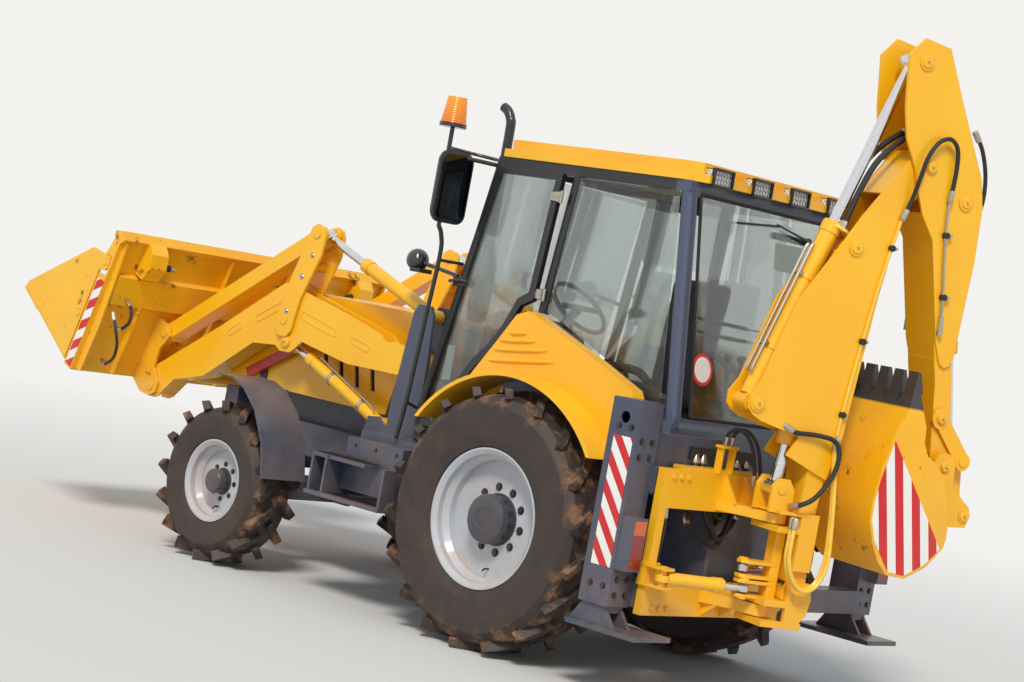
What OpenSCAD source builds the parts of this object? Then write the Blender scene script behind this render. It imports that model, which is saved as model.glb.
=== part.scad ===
// Backhoe loader with a four-wheel chassis, a front loader and a side-shift backhoe.
// Millimetres, +X forward, +Y to the machine's left, +Z up, ground at Z = 0.
// Outlines are drawn in X-Z from the rear axle's centre line; vehicle() puts them in the row's frame.

/* [Chassis] */
// Rear axle's place along the machine
rear_axle_x = -1165; // [-1300:5:-1000]
// Distance between the axles
wheelbase = 2240; // [2200:10:2300]
// Half the distance between the outer faces of the frame rails
rail_y = 370; // [340:5:385]
// Thickness of a frame rail
rail_t = 30; // [15:1:50]
// Height of the rails' lower edge
rail_z = 560; // [540:5:600]
// Depth of the rails
rail_h = 330; // [260:10:360]

/* [Rear wheels] */
// Radius over the lugs
rear_r = 705; // [680:5:730]
// Width of the rear tyre
rear_w = 430; // [400:5:460]
// Track, from the centre plane to a rear tyre's middle
rear_y = 885; // [870:5:920]
// Radius of the rear rim's flange
rear_rim_r = 378; // [360:2:400]
// Lugs on each side of a rear tyre
rear_lugs = 18; // [14:1:24]

/* [Front wheels] */
// Radius over the lugs
front_r = 485; // [470:5:500]
// Width of the front tyre
front_w = 300; // [280:5:320]
// Track, from the centre plane to a front tyre's middle
front_y = 930; // [915:5:945]
// Radius of the front rim's flange
front_rim_r = 248; // [235:1:260]
// Lugs on each side of a front tyre
front_lugs = 16; // [12:1:20]
// Kingpin's distance from the centre plane
kingpin_y = 760; // [745:5:775]
// Height of a lug above the tyre's crown
lug_h = 38; // [25:1:45]
// Width of a lug
lug_w = 46; // [35:1:55]

/* [Cab] */
// Half the cab's width at the roof
cab_top_y = 700; // [660:5:720]
// Half the cab's width at the waist
cab_waist_y = 760; // [740:5:790]
// Half the width of the cab's well between the rear wheels
cab_well_y = 600; // [560:5:620]
// Underside of the roof
roof_z = 2655; // [2600:5:2700]
// Thickness of the roof
roof_t = 105; // [80:5:130]
// Cab floor's top
floor_z = 1060; // [1030:5:1090]
// Width of a cab post
post_w = 62; // [50:1:75]
// Thickness of glass
glass_t = 6; // [5:1:8]

/* [Loader] */
// Middle of a loader arm from the centre plane
arm_y = 575; // [565:5:585]
// Gap between an arm's two plates
arm_gap = 100; // [98:1:104]
// Thickness of an arm plate
arm_t = 15; // [12:1:18]
// Half the loader bucket's width
bucket_y = 1170; // [1120:5:1200]
// Thickness of the bucket's plates
bucket_t = 16; // [10:1:20]
// Lift cylinder's outer radius
lift_r = 38; // [34:1:40]
// Tilt cylinder's outer radius
tilt_r = 40; // [36:1:44]

/* [Backhoe] */
// Swing axis along the machine, from the rear axle
swing_x = -1400; // [-1430:5:-1390]
// Swing axis across the machine
swing_y = 420; // [380:5:440]
// Swing angle in the stored pose, from straight back
swing_deg = 71; // [60:1:80]
// Half the boom's width
boom_y = 105; // [95:1:106]
// Half the dipper box's width
dipper_y = 112; // [111:1:114]
// Thickness of the boom's and dipper's plates
boom_t = 14; // [10:1:16]
// Half the backhoe bucket's width
hoe_y = 285; // [275:5:300]
// Stabiliser box's outer face from the centre plane
leg_y = 1170; // [1150:5:1180]
// Width of a stabiliser box
leg_w = 170; // [160:5:180]
// Depth of a stabiliser box
leg_d = 190; // [180:5:200]

/* [Hidden] */
$fn = 48;

// Colours
yellow = "#F2A900";
slate = "#3C4354";
black = "#1E1F22";
chrome = "#C9CDD1";
silver = "#B9BDC3";

// Running gap between moving pieces, and a pin's in its eye
gap = 6;
fit = 0.05;

// Heights and places that follow from the sizes above
rear_z = rear_r;
front_z = front_r;

// Pins of the loader, in X-Z
arm_pin = [1140, 1410];
lift_pin = [1390, 1010];
lift_eye = [2270, 1368];
lever_pin = [2300, 1500];
lever_eye = [2130, 2050];
link_eye = [3420, 1260];
bucket_pin = [3470, 900];
tilt_pin = [1110, 1690];
jaw_pin = [3500, 1640];

// Pins of the backhoe, in the swung plane: distance out from the swing axis, height
boom_pin = [140, 640];
boom_base = [-40, 1180];
boom_eye = [120, 2450];
dipper_pin = [476, 2927];
dipper_base = [-300, 1590];
dipper_eye = [329, 3445];
curl_base = [735, 2790];
rocker_pin = [832, 1664];
curl_eye = [1022, 1458];
hoe_pin = [885, 1420];
hoe_link_pin = [1063, 1180];

// Helpers
module vehicle() translate([rear_axle_x, 0, 0]) children();
module swung() vehicle() translate([swing_x, swing_y, 0]) rotate([0, 0, 180 + swing_deg]) children();
module both() { children(); mirror([0, 1, 0]) children(); }
module side(left) if (left) children(); else mirror([0, 1, 0]) children();
// Plate with its outline in X-Z, between y and y + t
module plate(points, y, t) translate([0, y + t, 0]) rotate([90, 0, 0]) linear_extrude(t) polygon(points);
// Round bar across the machine, between y0 and y1
module cross_bar(p, r, y0, y1) translate([p[0], y1, p[1]]) rotate([90, 0, 0]) cylinder(r = r, h = y1 - y0);
// Moves a piece drawn along +X so that it runs from p towards q in X-Z
function heading(p, q) = atan2(q[1] - p[1], q[0] - p[0]);
module along(p, q) translate([p[0], 0, p[1]]) rotate([0, -heading(p, q), 0]) children();
// Box beam from p to q, w across and h deep
module beam(p, q, y, w, h) along(p, q) translate([0, y - w / 2, -h / 2]) cube([norm(q - p), w, h]);
// Straight round tube between two points in space
module tube(a, b, r) {
    d = b - a;
    translate(a) rotate([0, acos(d[2] / norm(d)), atan2(d[1], d[0])]) cylinder(r = r, h = norm(d));
}
// Cylinder barrel from p towards q: bored eye, tube and gland, bored for its rod
module barrel(p, q, y, len, r, rod_r, eye_w, pin_r) {
    along(p, q) translate([0, y, 0]) difference() {
        union() {
            rotate([90, 0, 0]) cylinder(r = pin_r + 18, h = eye_w, center = true);
            translate([pin_r + 4, 0, 0]) rotate([0, 90, 0]) cylinder(r = r, h = len - pin_r - 4);
            translate([len - 64, 0, 0]) rotate([0, 90, 0]) cylinder(r = r + 4, h = 56);
        }
        translate([pin_r + 22, 0, 0]) rotate([0, 90, 0]) cylinder(r = rod_r + 1.5, h = len);
        rotate([90, 0, 0]) cylinder(r = pin_r + fit, h = eye_w * 2, center = true);
    }
}
// Cylinder rod with its eye and pin at q, running back towards p
module rod(p, q, y, len, r, eye_r, eye_w) {
    along(q, p) translate([0, y, 0]) {
        rotate([90, 0, 0]) cylinder(r = eye_r, h = eye_w, center = true);
        rotate([0, 90, 0]) cylinder(r = r, h = len);
    }
}

// Wheels, drawn about their own axle with the outer face towards +Y
module tyre(r, w, rim_r, rim_w, lugs) {
    crown = r - lug_h;
    bead = rim_w / 2 - 20.6;
    intersection() {
        union() {
            rotate([90, 0, 0]) rotate_extrude($fn = 64) polygon([
                [rim_r - 21.7, -bead], [rim_r + 0.5, -bead - 6], [rim_r + 8, -rim_w / 2],
                [rim_r + 80, -w / 2],
                [crown - 60, -w / 2], [crown - 14, -w / 2 + 34], [crown, -w / 2 + 95], [crown, w / 2 - 95],
                [crown - 14, w / 2 - 34], [crown - 60, w / 2], [rim_r + 80, w / 2], [rim_r + 8, rim_w / 2],
                [rim_r + 0.5, bead + 6], [rim_r - 21.7, bead]
            ]);
            for (s = [-1, 1], i = [0 : lugs - 1])
                rotate([0, (i + (s > 0 ? 0.5 : 0)) * 360 / lugs, 0]) lug(r, w, s);
        }
        rotate([90, 0, 0]) cylinder(r = r, h = w + 16, center = true, $fn = 64);
    }
}
module lug(r, w, s) {
    len = w * 0.6;
    root = 25;
    translate([0, s * w * 0.03, r - 9]) rotate([0, 0, s * 42])
        translate([-lug_w / 2, s > 0 ? 0 : -len, -lug_h - root]) cube([lug_w, len, lug_h + root]);
}
module rim(r, w, disc_in, hub_r, hub_in) {
    disc = w / 2 - disc_in;
    rotate([-90, 0, 0]) rotate_extrude($fn = 64) polygon([
        [0, disc - 14], [r - 62, disc - 14], [r - 62, -w / 2 + 86], [r - 34, -w / 2 + 56],
        [r - 34, -w / 2 + 22],
        [r - 10, -w / 2 + 4], [r, -w / 2 + 4], [r, -w / 2 + 14], [r - 22, -w / 2 + 20], [r - 22, -w / 2 + 60],
        [r - 50, -w / 2 + 90], [r - 50, w / 2 - 90], [r - 22, w / 2 - 60], [r - 22, w / 2 - 20],
        [r, w / 2 - 14],
        [r, w / 2 - 4], [r - 10, w / 2 - 4], [r - 34, w / 2 - 22], [r - 34, w / 2 - 56], [r - 62, w / 2 - 86],
        [r - 62, disc], [hub_r + 14, disc], [hub_r, disc + 8], [hub_r, w / 2 - hub_in - 12],
        [hub_r - 12, w / 2 - hub_in], [0, w / 2 - hub_in]
    ]);
}
rear_rim_w = rear_w - 50;
front_rim_w = front_w - 40;
disc_rear = 128;
disc_front = 96;
module rear_tyre(left) color(black) vehicle() side(left) translate([0, rear_y, rear_z])
    tyre(rear_r, rear_w, rear_rim_r, rear_rim_w, rear_lugs);
module rear_rim(left) color(silver) vehicle() side(left) translate([0, rear_y, rear_z])
    rim(rear_rim_r, rear_rim_w, disc_rear, 133, 38);
module front_tyre(left) color(black) vehicle() side(left) translate([wheelbase, front_y, front_z])
    tyre(front_r, front_w, front_rim_r, front_rim_w, front_lugs);
module front_rim(left) color(silver) vehicle() side(left) translate([wheelbase, front_y, front_z])
    rim(front_rim_r, front_rim_w, disc_front, 72, 24);

// Frame rails, cross members, nose and loader towers
nose_x = 3000;
member_h = 75;
deck_z = 720;
seat_gap = 0.3;
tower = [1010, 1250];
pin_r = 30;
ram_pin_r = 24;
tower_gap = arm_gap / 2 + arm_t + gap;
tower_t = 20;
lift_out = lift_r + gap + 6;
module main_frame() color(slate) vehicle() difference() {
    union() {
        both() {
            translate([-620, rail_y - rail_t, rail_z]) cube([nose_x - 80 + 620, rail_t, rail_h]);
            for (y = [arm_y - tower_gap - tower_t, arm_y + tower_gap]) tower_plate(y);
            cross_bar(arm_pin, pin_r, arm_y - tower_gap - 5, arm_y + tower_gap + 5);
            cross_bar(tilt_pin, ram_pin_r, arm_y - tower_gap - 5, arm_y + tower_gap + 5);
            for (y = [arm_y - lift_out - 16, arm_y + lift_out])
                plate([[1240, 870], [1480, 870], [1440, 1050], [1350, 1060], [1240, 960]], y, 16);
            cross_bar(lift_pin, ram_pin_r, arm_y - lift_out - 5, arm_y + lift_out + 5);
            translate([1130, rail_y - 5, 840]) cube([350, arm_y + lift_out + 16 - rail_y + 5, 40]);
        }
        for (x = [-560, 480, 1180, 2600])
            translate([x, -rail_y + 5, rail_z + 5]) cube([90, 2 * rail_y - 10, member_h]);
        // nose plate and bumper below the grille
        plate([[2880, 600], [2940, 575], [2975, 640], [nose_x, 760], [nose_x, 1010], [2880, 1010]],
            -420, 840);
        cross_bar([1080, 1000], 45, -arm_y - tower_gap - 5, arm_y + tower_gap + 5);
        // brackets of the front axle's pivot
        for (x = [wheelbase - 125, wheelbase + 95]) translate([x, -100, 420]) cube([30, 200, 300]);
        translate([wheelbase - 125, -rail_y + 5, deck_z - 30]) cube([250, 2 * rail_y - 10, 30]);
        translate([wheelbase - 125, 0, front_z]) rotate([0, 90, 0]) cylinder(r = 40, h = 250);
    }
    // towing pin's hole in the nose
    translate([2935, 0, 500]) cylinder(r = 20, h = 600);
    // rear axle's seat in the rails
    cross_bar([0, rear_z], axle_tube_r + seat_gap, -400, 400);
    // room for the front axle's beam
    both() translate([wheelbase - 160, rail_y - rail_t - 1, rail_z - 1]) cube([320, rail_t + 2, 131]);
}
module tower_plate(y) plate([
    [tower[0], 700], [tower[1], 700], [tower[1], 1150], [tower[1] - 30, 1420], [1190, 1700], [1160, 1750],
    [1060, 1750], [1030, 1700], [tower[0], 1420]
], y, tower_t);

// Axles
axle_tube_r = 110;
steer_x = wheelbase - 170;
module front_axle() color(slate) vehicle() difference() {
    union() {
        translate([wheelbase - 70, -kingpin_y + 70, front_z - 70]) cube([140, 2 * kingpin_y - 140, 140]);
        translate([wheelbase, 0, front_z]) rotate([0, 90, 0]) cylinder(r = 85, h = 180, center = true);
        both() translate([wheelbase - 55, kingpin_y - 75, front_z - 150]) cube([110, 130, 300]);
        // steering cylinder behind the beam
        translate([steer_x, 260, front_z]) rotate([90, 0, 0]) cylinder(r = 38, h = 520);
        both() translate([steer_x, 180, front_z - 30]) cube([110, 40, 60]);
    }
    translate([wheelbase - 200, 0, front_z]) rotate([0, 90, 0]) cylinder(r = 40 + fit, h = 400);
    // the yokes' forks
    both() translate([wheelbase - 120, kingpin_y - 58, front_z - 122]) cube([240, 120, 244]);
    both() translate([wheelbase, kingpin_y, front_z - 200]) cylinder(r = 24 + fit, h = 400);
}
module rear_axle() color(slate) vehicle() {
    translate([-170, -190, rear_z - 150]) cube([340, 380, 300]);
    cross_bar([0, rear_z], axle_tube_r, -640, 640);
    both() cross_bar([0, rear_z], 185, 560, 640);
    both() translate([-90, rail_y - rail_t - 60, rear_z - 60]) cube([180, 60 - seat_gap, 190]);
    both() cross_bar([0, rear_z], 90, 630, rear_y + rear_rim_w / 2 - disc_rear - 14 - 0.3);
}
module knuckle(left) color(slate) vehicle() side(left) {
    translate([wheelbase, kingpin_y, front_z - 146]) cylinder(r = 24, h = 292);
    translate([wheelbase, kingpin_y, front_z - 116]) cylinder(r = 46, h = 232);
    cross_bar([wheelbase, front_z], 70, kingpin_y, front_y + front_rim_w / 2 - disc_front - 14 - 0.3);
    // steering arm and the mudguard's bracket, close inside the tyre
    translate([wheelbase - 180, kingpin_y - 10, front_z - 20]) cube([150, 20, 40]);
    plate([[wheelbase - 60, 520], [wheelbase - 20, 520], [wheelbase - 20, 598], [wheelbase - 95, 602],
        [wheelbase - 100, 1085], [wheelbase - 190, 1080], [wheelbase - 150, 700]], kingpin_y - 14, 12);
    guard_w = 340;
    plate(concat([for (p = guard) p], [for (i = [len(guard) - 1 : -1 : 0]) guard[i] + guard_in[i]]),
        front_y + front_w / 2 + 50 - guard_w, guard_w);
    translate([wheelbase - 190, kingpin_y - 14, 1084]) cube([90, 60, 8]);
}
guard = [for (p = [[25, 1133], [-110, 1130], [-230, 1085], [-360, 975], [-470, 800], [-525, 590]])
    p + [wheelbase, 0]];
guard_in = [[0, -9], [-1, -9], [4, -9], [7, -6], [9, -4], [9, 0]];

module engine() color(slate) vehicle() {
    translate([1660, -260, deck_z + seat_gap]) cube([1080, 520, 1400 - deck_z]);
    // gearbox on its cross member, and the two propeller shafts
    translate([1060, -210, rail_z + 5 + member_h + seat_gap]) cube([605, 420, 300]);
    tube([1650, 0, 740], [2010, 0, 610], 40);
    translate([170 + seat_gap, 0, rear_z]) rotate([0, 90, 0]) cylinder(r = 45, h = 900);
}

// Rear frame with the stabilisers' boxes and the carriage's two rails
rail_back = -1060;
leg_x = -1030;
wall = 12;
play = wall + 5;
// Block that fills a stabiliser's box but for a margin
module leg_block(margin, z, h)
    translate([leg_x + margin, leg_y - leg_w + margin, z]) cube([leg_d - 2 * margin, leg_w - 2 * margin, h]);
module rear_frame() color(slate) vehicle() difference() {
    union() {
        both() translate([leg_x, leg_y - leg_w, 460]) cube([leg_d, leg_w, 1040]);
        for (z = [470, 1050]) translate([rail_back, -leg_y + leg_w - 5, z])
            cube([130, 2 * (leg_y - leg_w) + 10, 130]);
        both() plate([[-1000, 500], [-430, 560], [-430, 890], [-560, 994], [-912, 994], [-912, 1160],
            [-1000, 1160]],
            rail_y + 0.3, 30);
        translate([-960, -rail_y, 590]) cube([30, 2 * rail_y, 470]);
        // bosses and upper cross member behind the cab
        both() translate([-985, 420, 1180]) cube([60, leg_y - leg_w - 415, 170]);
        both() translate([-1000, rail_y + 0.3, 1150]) cube([88, 60, 200]);
        both() cross_bar([-930, 640], 40, leg_y - 20, leg_y + 0);
        // tail lamps' brackets
        both() translate([-1112, leg_y - 108, 655]) cube([90, 104, 270]);
    }
    both() leg_block(play - seat_gap, 400, 1080);
    both() for (z = [[530, 270], [860, 620]]) leg_block(wall, z[0], z[1]);
    both() cross_bar([-935, 1405], 30, leg_y - 40, leg_y + 40);
    both() translate([-1113, leg_y - 101, 668]) cube([60, 90, 244]);
}
module stabiliser(left) color(slate) vehicle() side(left) {
    difference() {
        leg_block(play, 425, 930);
        leg_block(play + 12, 400, 940);
    }
    translate([0, 0, 330]) linear_extrude(25) polygon([
        [-1240, 880], [-780, 880], [-720, 940], [-720, 1110], [-780, leg_y], [-1240, leg_y]
    ]);
    for (y = [leg_y - leg_w + play, leg_y - play - 20])
        plate([[-1090, 350], [-780, 350], [-850, 450], [-1010, 450]], y, 20);
}

// Cab
a_post = [[690, 2646], [905, 1160]];
b_post = [[100, 2650], [160, 1830]];
c_post = [[-660, 2643], [-870, 1370]];
function cab_y(z) = cab_top_y + (cab_waist_y - cab_top_y) * (roof_z - z) / (roof_z - 1160);
module post(p, q, r) tube([p[0], cab_y(p[1]) - r, p[1]], [q[0], cab_y(q[1]) - r, q[1]], r);
module cab_frame() color(black) vehicle() {
    r = post_w / 2;
    both() {
        post(a_post[0], a_post[1], r);
        post(c_post[0], c_post[1], 42);
        post(b_post[0], b_post[1], r);
        // sill below the door, and the arch's edge up to the waist
        plate([[640, 1000], [905, 1000], [905, 1075], [640, 1075]], cab_waist_y - 50, 50);
        plate([[870, 1000], [930, 1000], [930, 1180], [870, 1180]], cab_waist_y - 62, 62);
        plate([[-905, 1000], [-870, 1000], [-840, 1400], [-905, 1400]], cab_waist_y - 62, 62);
        arch_rail();
    }
    // roof ring
    translate([-700, -cab_top_y, roof_z - 60]) cube([1400, 70, 60]);
    translate([-700, cab_top_y - 70, roof_z - 60]) cube([1400, 70, 60]);
    for (x = [-700, 630]) translate([x, -cab_top_y, roof_z - 60]) cube([70, 2 * cab_top_y, 60]);
    // floor, bulkhead below the windscreen and rear wall below the rear window
    translate([-560, -cab_well_y, floor_z - 60]) cube([1440, 2 * cab_well_y, 60]);
    translate([870, -cab_waist_y + 20, 1000]) cube([40, 2 * cab_waist_y - 40, 150]);
    translate([-905, -cab_waist_y + 20, 1000]) cube([35, 2 * cab_waist_y - 40, 430]);
    translate([-900, -cab_well_y, floor_z - 60]) cube([360, 2 * cab_well_y, 60]);
    both() translate([-880, cab_well_y, floor_z - 60]) cube([30, 110, 60]);
}
// Curved rail along the fender's top, from the door's foot to the rear post
module arch_rail() plate(concat(
    [for (p = arch) p], [for (i = [len(arch) - 1 : -1 : 0]) arch[i] - [18, 34]]), cab_waist_y - 50, 40);
arch = [[690, 1000], [640, 1200], [520, 1440], [340, 1610], [160, 1800], [60, 1800], [-120, 1730],
    [-420, 1600],
    [-700, 1440], [-860, 1400]];
module cab_roof() color(yellow) vehicle() difference() {
    translate([0, 0, roof_z]) {
        linear_extrude(45) polygon(roof_plan(0));
        translate([0, 0, 44]) linear_extrude(roof_t - 44) polygon(roof_plan(50));
    }
    for (y = lamp_row) translate([-760, y - 78, roof_z - 1]) cube([70, 156, 86]);
}
function roof_plan(inset) = [
    [720 - inset, -cab_top_y + 60], [660 - inset, -cab_top_y - 10 + inset], [-640, -cab_top_y - 10 + inset],
    [-750 + inset, -cab_top_y + 80], [-750 + inset, cab_top_y - 80], [-640, cab_top_y + 10 - inset],
    [660 - inset, cab_top_y + 10 - inset], [720 - inset, cab_top_y - 60]
];
lamp_row = [-520, -173, 173, 520];
// Panes: windscreen, rear quarter windows, rear window
module cab_glass() color("#5B6B6A", 0.5) vehicle() {
    hull() pane_ends(715, 2590, 935, 1160, cab_top_y - 60);
    hull() pane_ends(-712, 2590, -900, 1440, cab_top_y - 80);
    both() side_pane([[60, 2590], [-640, 2590], [-800, 1450], [-690, 1470], [-420, 1640], [-120, 1765],
        [60, 1830],
        [100, 1840]]);
}
module pane_ends(x0, z0, x1, z1, y) for (p = [[x0, z0], [x1, z1]])
    translate([p[0], -y, p[1]]) cube([glass_t, 2 * y, 1]);
// Side panes lean in towards the roof, as the posts do
lean = atan((cab_waist_y - cab_top_y) / (roof_z - 1160));
module side_pane(points) leaning() plate(points, -glass_t, glass_t);
module leaning() translate([0, cab_waist_y + 8, 1160]) rotate([lean, 0, 0]) translate([0, 0, -1160])
    children();
door = [[660, 2600], [160, 2600], [190, 1890], [272, 1850], [297, 1800], [342, 1700], [408, 1590],
    [520, 1470],
    [626, 1320], [724, 1180], [724, 1085], [885, 1085], [895, 1160]];
door_glass = [[625, 2560], [205, 2560], [231, 1930], [302, 1886], [334, 1815], [380, 1715], [440, 1622],
    [545, 1510], [655, 1343], [755, 1203], [755, 1125], [850, 1125], [856, 1160]];
module door(left) color(black) vehicle() side(left) {
    leaning() difference() {
        plate(door, 2, 34);
        plate(door_glass, -2, 40);
    }
    // hinge knuckles and their leaves
    for (h = [[1900, 752], [2440, 746]]) {
        translate([door_hinge[0], door_hinge[1], h[0]]) cylinder(r = 9, h = 60);
        translate([door_hinge[0], h[1], h[0]]) cube([78, 12, 60]);
    }
}
door_hinge = [130, 760];
module door_pane(left) color("#5B6B6A", 0.5) vehicle() side(left) leaning()
    plate([for (p = door_glass) p], 14, glass_t);

module cab_console() color("#4A4D52") vehicle() {
    // front console, steering column and wheel
    plate([[640, floor_z], [850, floor_z], [820, 1750], [720, 1790], [680, 1500]], -190, 380);
    tube([700, 0, 1700], [528, 0, 1894], 26);
    translate([530, 0, 1892]) rotate([0, -42, 0]) rotate_extrude() translate([185, 0])
        circle(r = 14, $fn = 16);
    translate([530, 0, 1892]) rotate([0, -42, 0]) cube([30, 360, 16], center = true);
    // side consoles over the wheel arches, rear console with the backhoe's levers
    both() plate([[-560, floor_z], [180, floor_z], [180, 1520], [-300, 1560], [-560, 1500]], 330, 240);
    plate([[-860, floor_z], [-700, floor_z], [-700, 1500], [-860, 1420]], -260, 520);
    for (y = [-150, -50, 50, 150]) tube([-770, y, 1400], [-740, y * 1.2, 1760], 12);
}
module seat() color("#26282B") vehicle() {
    plate([[-330, floor_z + 240], [190, floor_z + 240], [220, floor_z + 330], [160, floor_z + 390],
        [-330, floor_z + 370]], -250, 500);
    plate([[-330, floor_z + 340], [-220, floor_z + 340], [-270, 2120], [-300, 2200], [-380, 2200],
        [-420, 2100]],
        -240, 480);
    translate([-230, -170, floor_z]) cube([330, 340, 240]);
}

// Rear fenders: arch over the tyre and the raised slab beside the cab
arch_r = 770;
module rear_fenders() color(yellow) vehicle() both() {
    difference() {
        union() {
            translate([0, 1055, 700]) rotate([90, 0, 0]) cylinder(r = arch_r + 22, h = 440);
            plate(slab, cab_waist_y + 30, 90);
        }
        translate([0, 1060, 700]) rotate([90, 0, 0]) cylinder(r = arch_r, h = 420);
        translate([0, 1100, 700]) rotate([90, 0, 0]) cylinder(r = arch_r - 40, h = 600);
        plate([[-2000, -200], [2000, -200], [2000, 1150], [-2000, 1150]], 500, 700);
        plate([[-2000, 1100], [-760, 1100], [-760, 2000], [-2000, 2000]], 500, 700);
        // the cab's own side stands inside the arch
        plate([[-2000, 1000], [2000, 1000], [2000, 2600], [-2000, 2600]], 500, cab_waist_y + 12 - 500);
    }
}
slab = [[590, 1150], [560, 1250], [440, 1450], [300, 1640], [190, 1800], [110, 1830], [40, 1810],
    [-430, 1640],
    [-700, 1530], [-750, 1440], [-750, 1150]];

// Tank and steps under each door
module side_tanks() color(slate) vehicle() both() {
    difference() {
        translate([760, rail_y + seat_gap, 640]) cube([490, 480, 340]);
        // room for the loader's tower
        translate([tower[0] - seat_gap, rail_y - 10, 600]) cube([300,
            arm_y + tower_gap + tower_t + seat_gap - rail_y + 10, 500]);
    }
    translate([780, rail_y + seat_gap + 475, 640]) cube([460, 110, 300]);
    translate([940, 950, 800]) cube([440, 130, 22]);
    translate([760, 900, 580]) cube([620, 200, 22]);
    for (x = [764, 1240]) translate([x, 900, 590]) cube([16, 190, 230]);
    translate([1250, rail_y + seat_gap + 200, 640]) cube([120, 260, 170]);
    translate([1362, 900, 590]) cube([16, 180, 230]);
    translate([1200, 840, 640]) cube([178, 64, 60]);
}
// The exhaust stands on the engine's side, so that the bonnet's slot lifts past it
stack = [1680, -360];
stack_r = 42;
silencer_r = 70;
module exhaust() color(black) vehicle() {
    tube([stack[0], -260 - seat_gap, 1330], [stack[0], stack[1], 1330], 40);
    translate([stack[0], stack[1], 1288]) cylinder(r = stack_r, h = 1562);
    tube([stack[0], stack[1], 2838], [stack[0] - 26, stack[1], 2950], stack_r);
    tube([stack[0] - 22, stack[1], 2936], [stack[0] - 92, stack[1], 3036], stack_r);
    translate([stack[0], stack[1], 1690]) cylinder(r = silencer_r, h = 420);
}
module beacon() color("#F08A12") vehicle() {
    translate([950, 860, 2790]) cylinder(r1 = 74, r2 = 55, h = 150);
    translate([950, 860, 2768]) cylinder(r = 78, h = 24);
    tube([950, 860, 2630], [950, 860, 2775], 13);
    tube([950, 860, 2652], [712, cab_top_y - 2, 2630], 10);
}
module mirrors() color(black) vehicle() both() {
    tube([706, cab_top_y + 5, 2600], [850, 930, 2600], 12);
    tube([850, 930, 2200], [850, 930, 2640], 12);
    translate([800, 900, 2430]) rotate([0, 0, 28]) translate([-25, -95, -205]) cube([30, 190, 410]);
}
module lamps() color("#E9ECEF") vehicle() {
    for (y = lamp_row) translate([-752, y - 72, roof_z + 0.3]) cube([60, 144, 78]);
    both() translate([1150, 750, 2000]) sphere(r = 66);
    both() tube([830, cab_waist_y - 30, 1950], [1110, 750, 1990], 12);
    both() translate([-1112, leg_y - 100.7, 668.3]) cube([59, 89.4, 243.4]);
}

// Bonnet with its side vents, hinged at its rear upper edge
hood_y = 450;
hood_pin = [1430, 1640];
hood = [[1385, 1690], [1370, 1660], [1500, 1060], [2895, 1060], [3000, 1120], [3030, 1300], [3010, 1560],
    [2930, 1650], [2500, 1690]];
hood_in = [[1340, 1678], [1340, 1050], [2885, 1050], [2988, 1127], [3018, 1300], [2998, 1553],
    [2922, 1640], [2495, 1678]];
module bonnet() color(yellow) vehicle() {
    difference() {
        plate(hood, -hood_y, 2 * hood_y);
        plate(hood_in, -hood_y + 12, 2 * hood_y - 24);
        for (x = [1620, 1760, 1900, 2040])
            plate([[x, 1180], [x + 40, 1180], [x + 100, 1400], [x + 60, 1400]],
                -hood_y - 10, 2 * hood_y + 20);
        for (z = [1180 : 60 : 1540]) translate([2900, -330, z]) cube([200, 660, 26]);
        translate([1600, stack[1] - silencer_r - 8, 1670]) cube([410, 2 * silencer_r + 16, 40]);
    }
    both() cross_bar(hood_pin, 18, 300, hood_y - 5);
}

// Loader: two plates a side, open below and above where the cylinders pass between them
arm = [
    [1074, 1389], [1090, 1352], [1130, 1328], [1193, 1322], [1700, 1318], [2130, 1388], [2185, 1335],
    [2225, 1308],
    [2315, 1306], [2365, 1335], [2571, 1318], [2989, 1042], [3271, 975], [3400, 850], [3440, 832],
    [3500, 832],
    [3536, 862], [3540, 935], [3526, 1005], [2904, 1376], [2371, 1718], [2290, 1738], [2172, 1689],
    [1611, 1570],
    [1460, 1532], [1425, 1505], [1400, 1497], [1370, 1495], [1330, 1508], [1150, 1478], [1105, 1465],
    [1078, 1430]
];
lever_out = arm_gap / 2 + arm_t + gap;
lever_t = 16;
module strip(points, t, y, w) plate(concat([for (p = points) p],
    [for (i = [len(points) - 1 : -1 : 0]) points[i] - [0, t]]), y, w);
module loader_arms() color(yellow) vehicle() {
    both() difference() {
        union() {
            for (y = [arm_y - arm_gap / 2 - arm_t, arm_y + arm_gap / 2]) plate(arm, y, arm_t);
            cross_bar(arm_pin, pin_r + 18, arm_y - arm_gap / 2 - 5, arm_y + arm_gap / 2 + 5);
            cross_bar(bucket_pin, pin_r + 18, arm_y - arm_gap / 2 - 5, arm_y + arm_gap / 2 + 5);
            cross_bar([1750, 1400], 32, arm_y - arm_gap / 2 - 5, arm_y + arm_gap / 2 + 5);
            strip([[2420, 1682], [2904, 1372], [3500, 1015]], 14, arm_y - arm_gap / 2 - 5, arm_gap + 10);
            strip([[2420, 1345], [2571, 1334], [2989, 1058], [3271, 991], [3380, 885]], 14,
                arm_y - arm_gap / 2 - 5, arm_gap + 10);
        }
        cross_bar(arm_pin, pin_r + fit, arm_y - 200, arm_y + 200);
        cross_bar(bucket_pin, pin_r + fit, arm_y - 200, arm_y + 200);
    }
    both() for (p = [[lever_pin, lever_out + lever_t + 5], [lift_eye, arm_gap / 2 + arm_t + 5]], s = [-1, 1])
        cross_bar(p[0], p[0] == lift_eye ? 42 : pin_r,
            arm_y + s * p[1] - (s > 0 ? p[1] - arm_gap / 2 - 2 : 0),
            arm_y + s * p[1] + (s < 0 ? p[1] - arm_gap / 2 - 2 : 0));
    cross_bar([3190, 1040], 60, -arm_y + arm_gap / 2 + arm_t - 5, arm_y - arm_gap / 2 - arm_t + 5);
}
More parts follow.
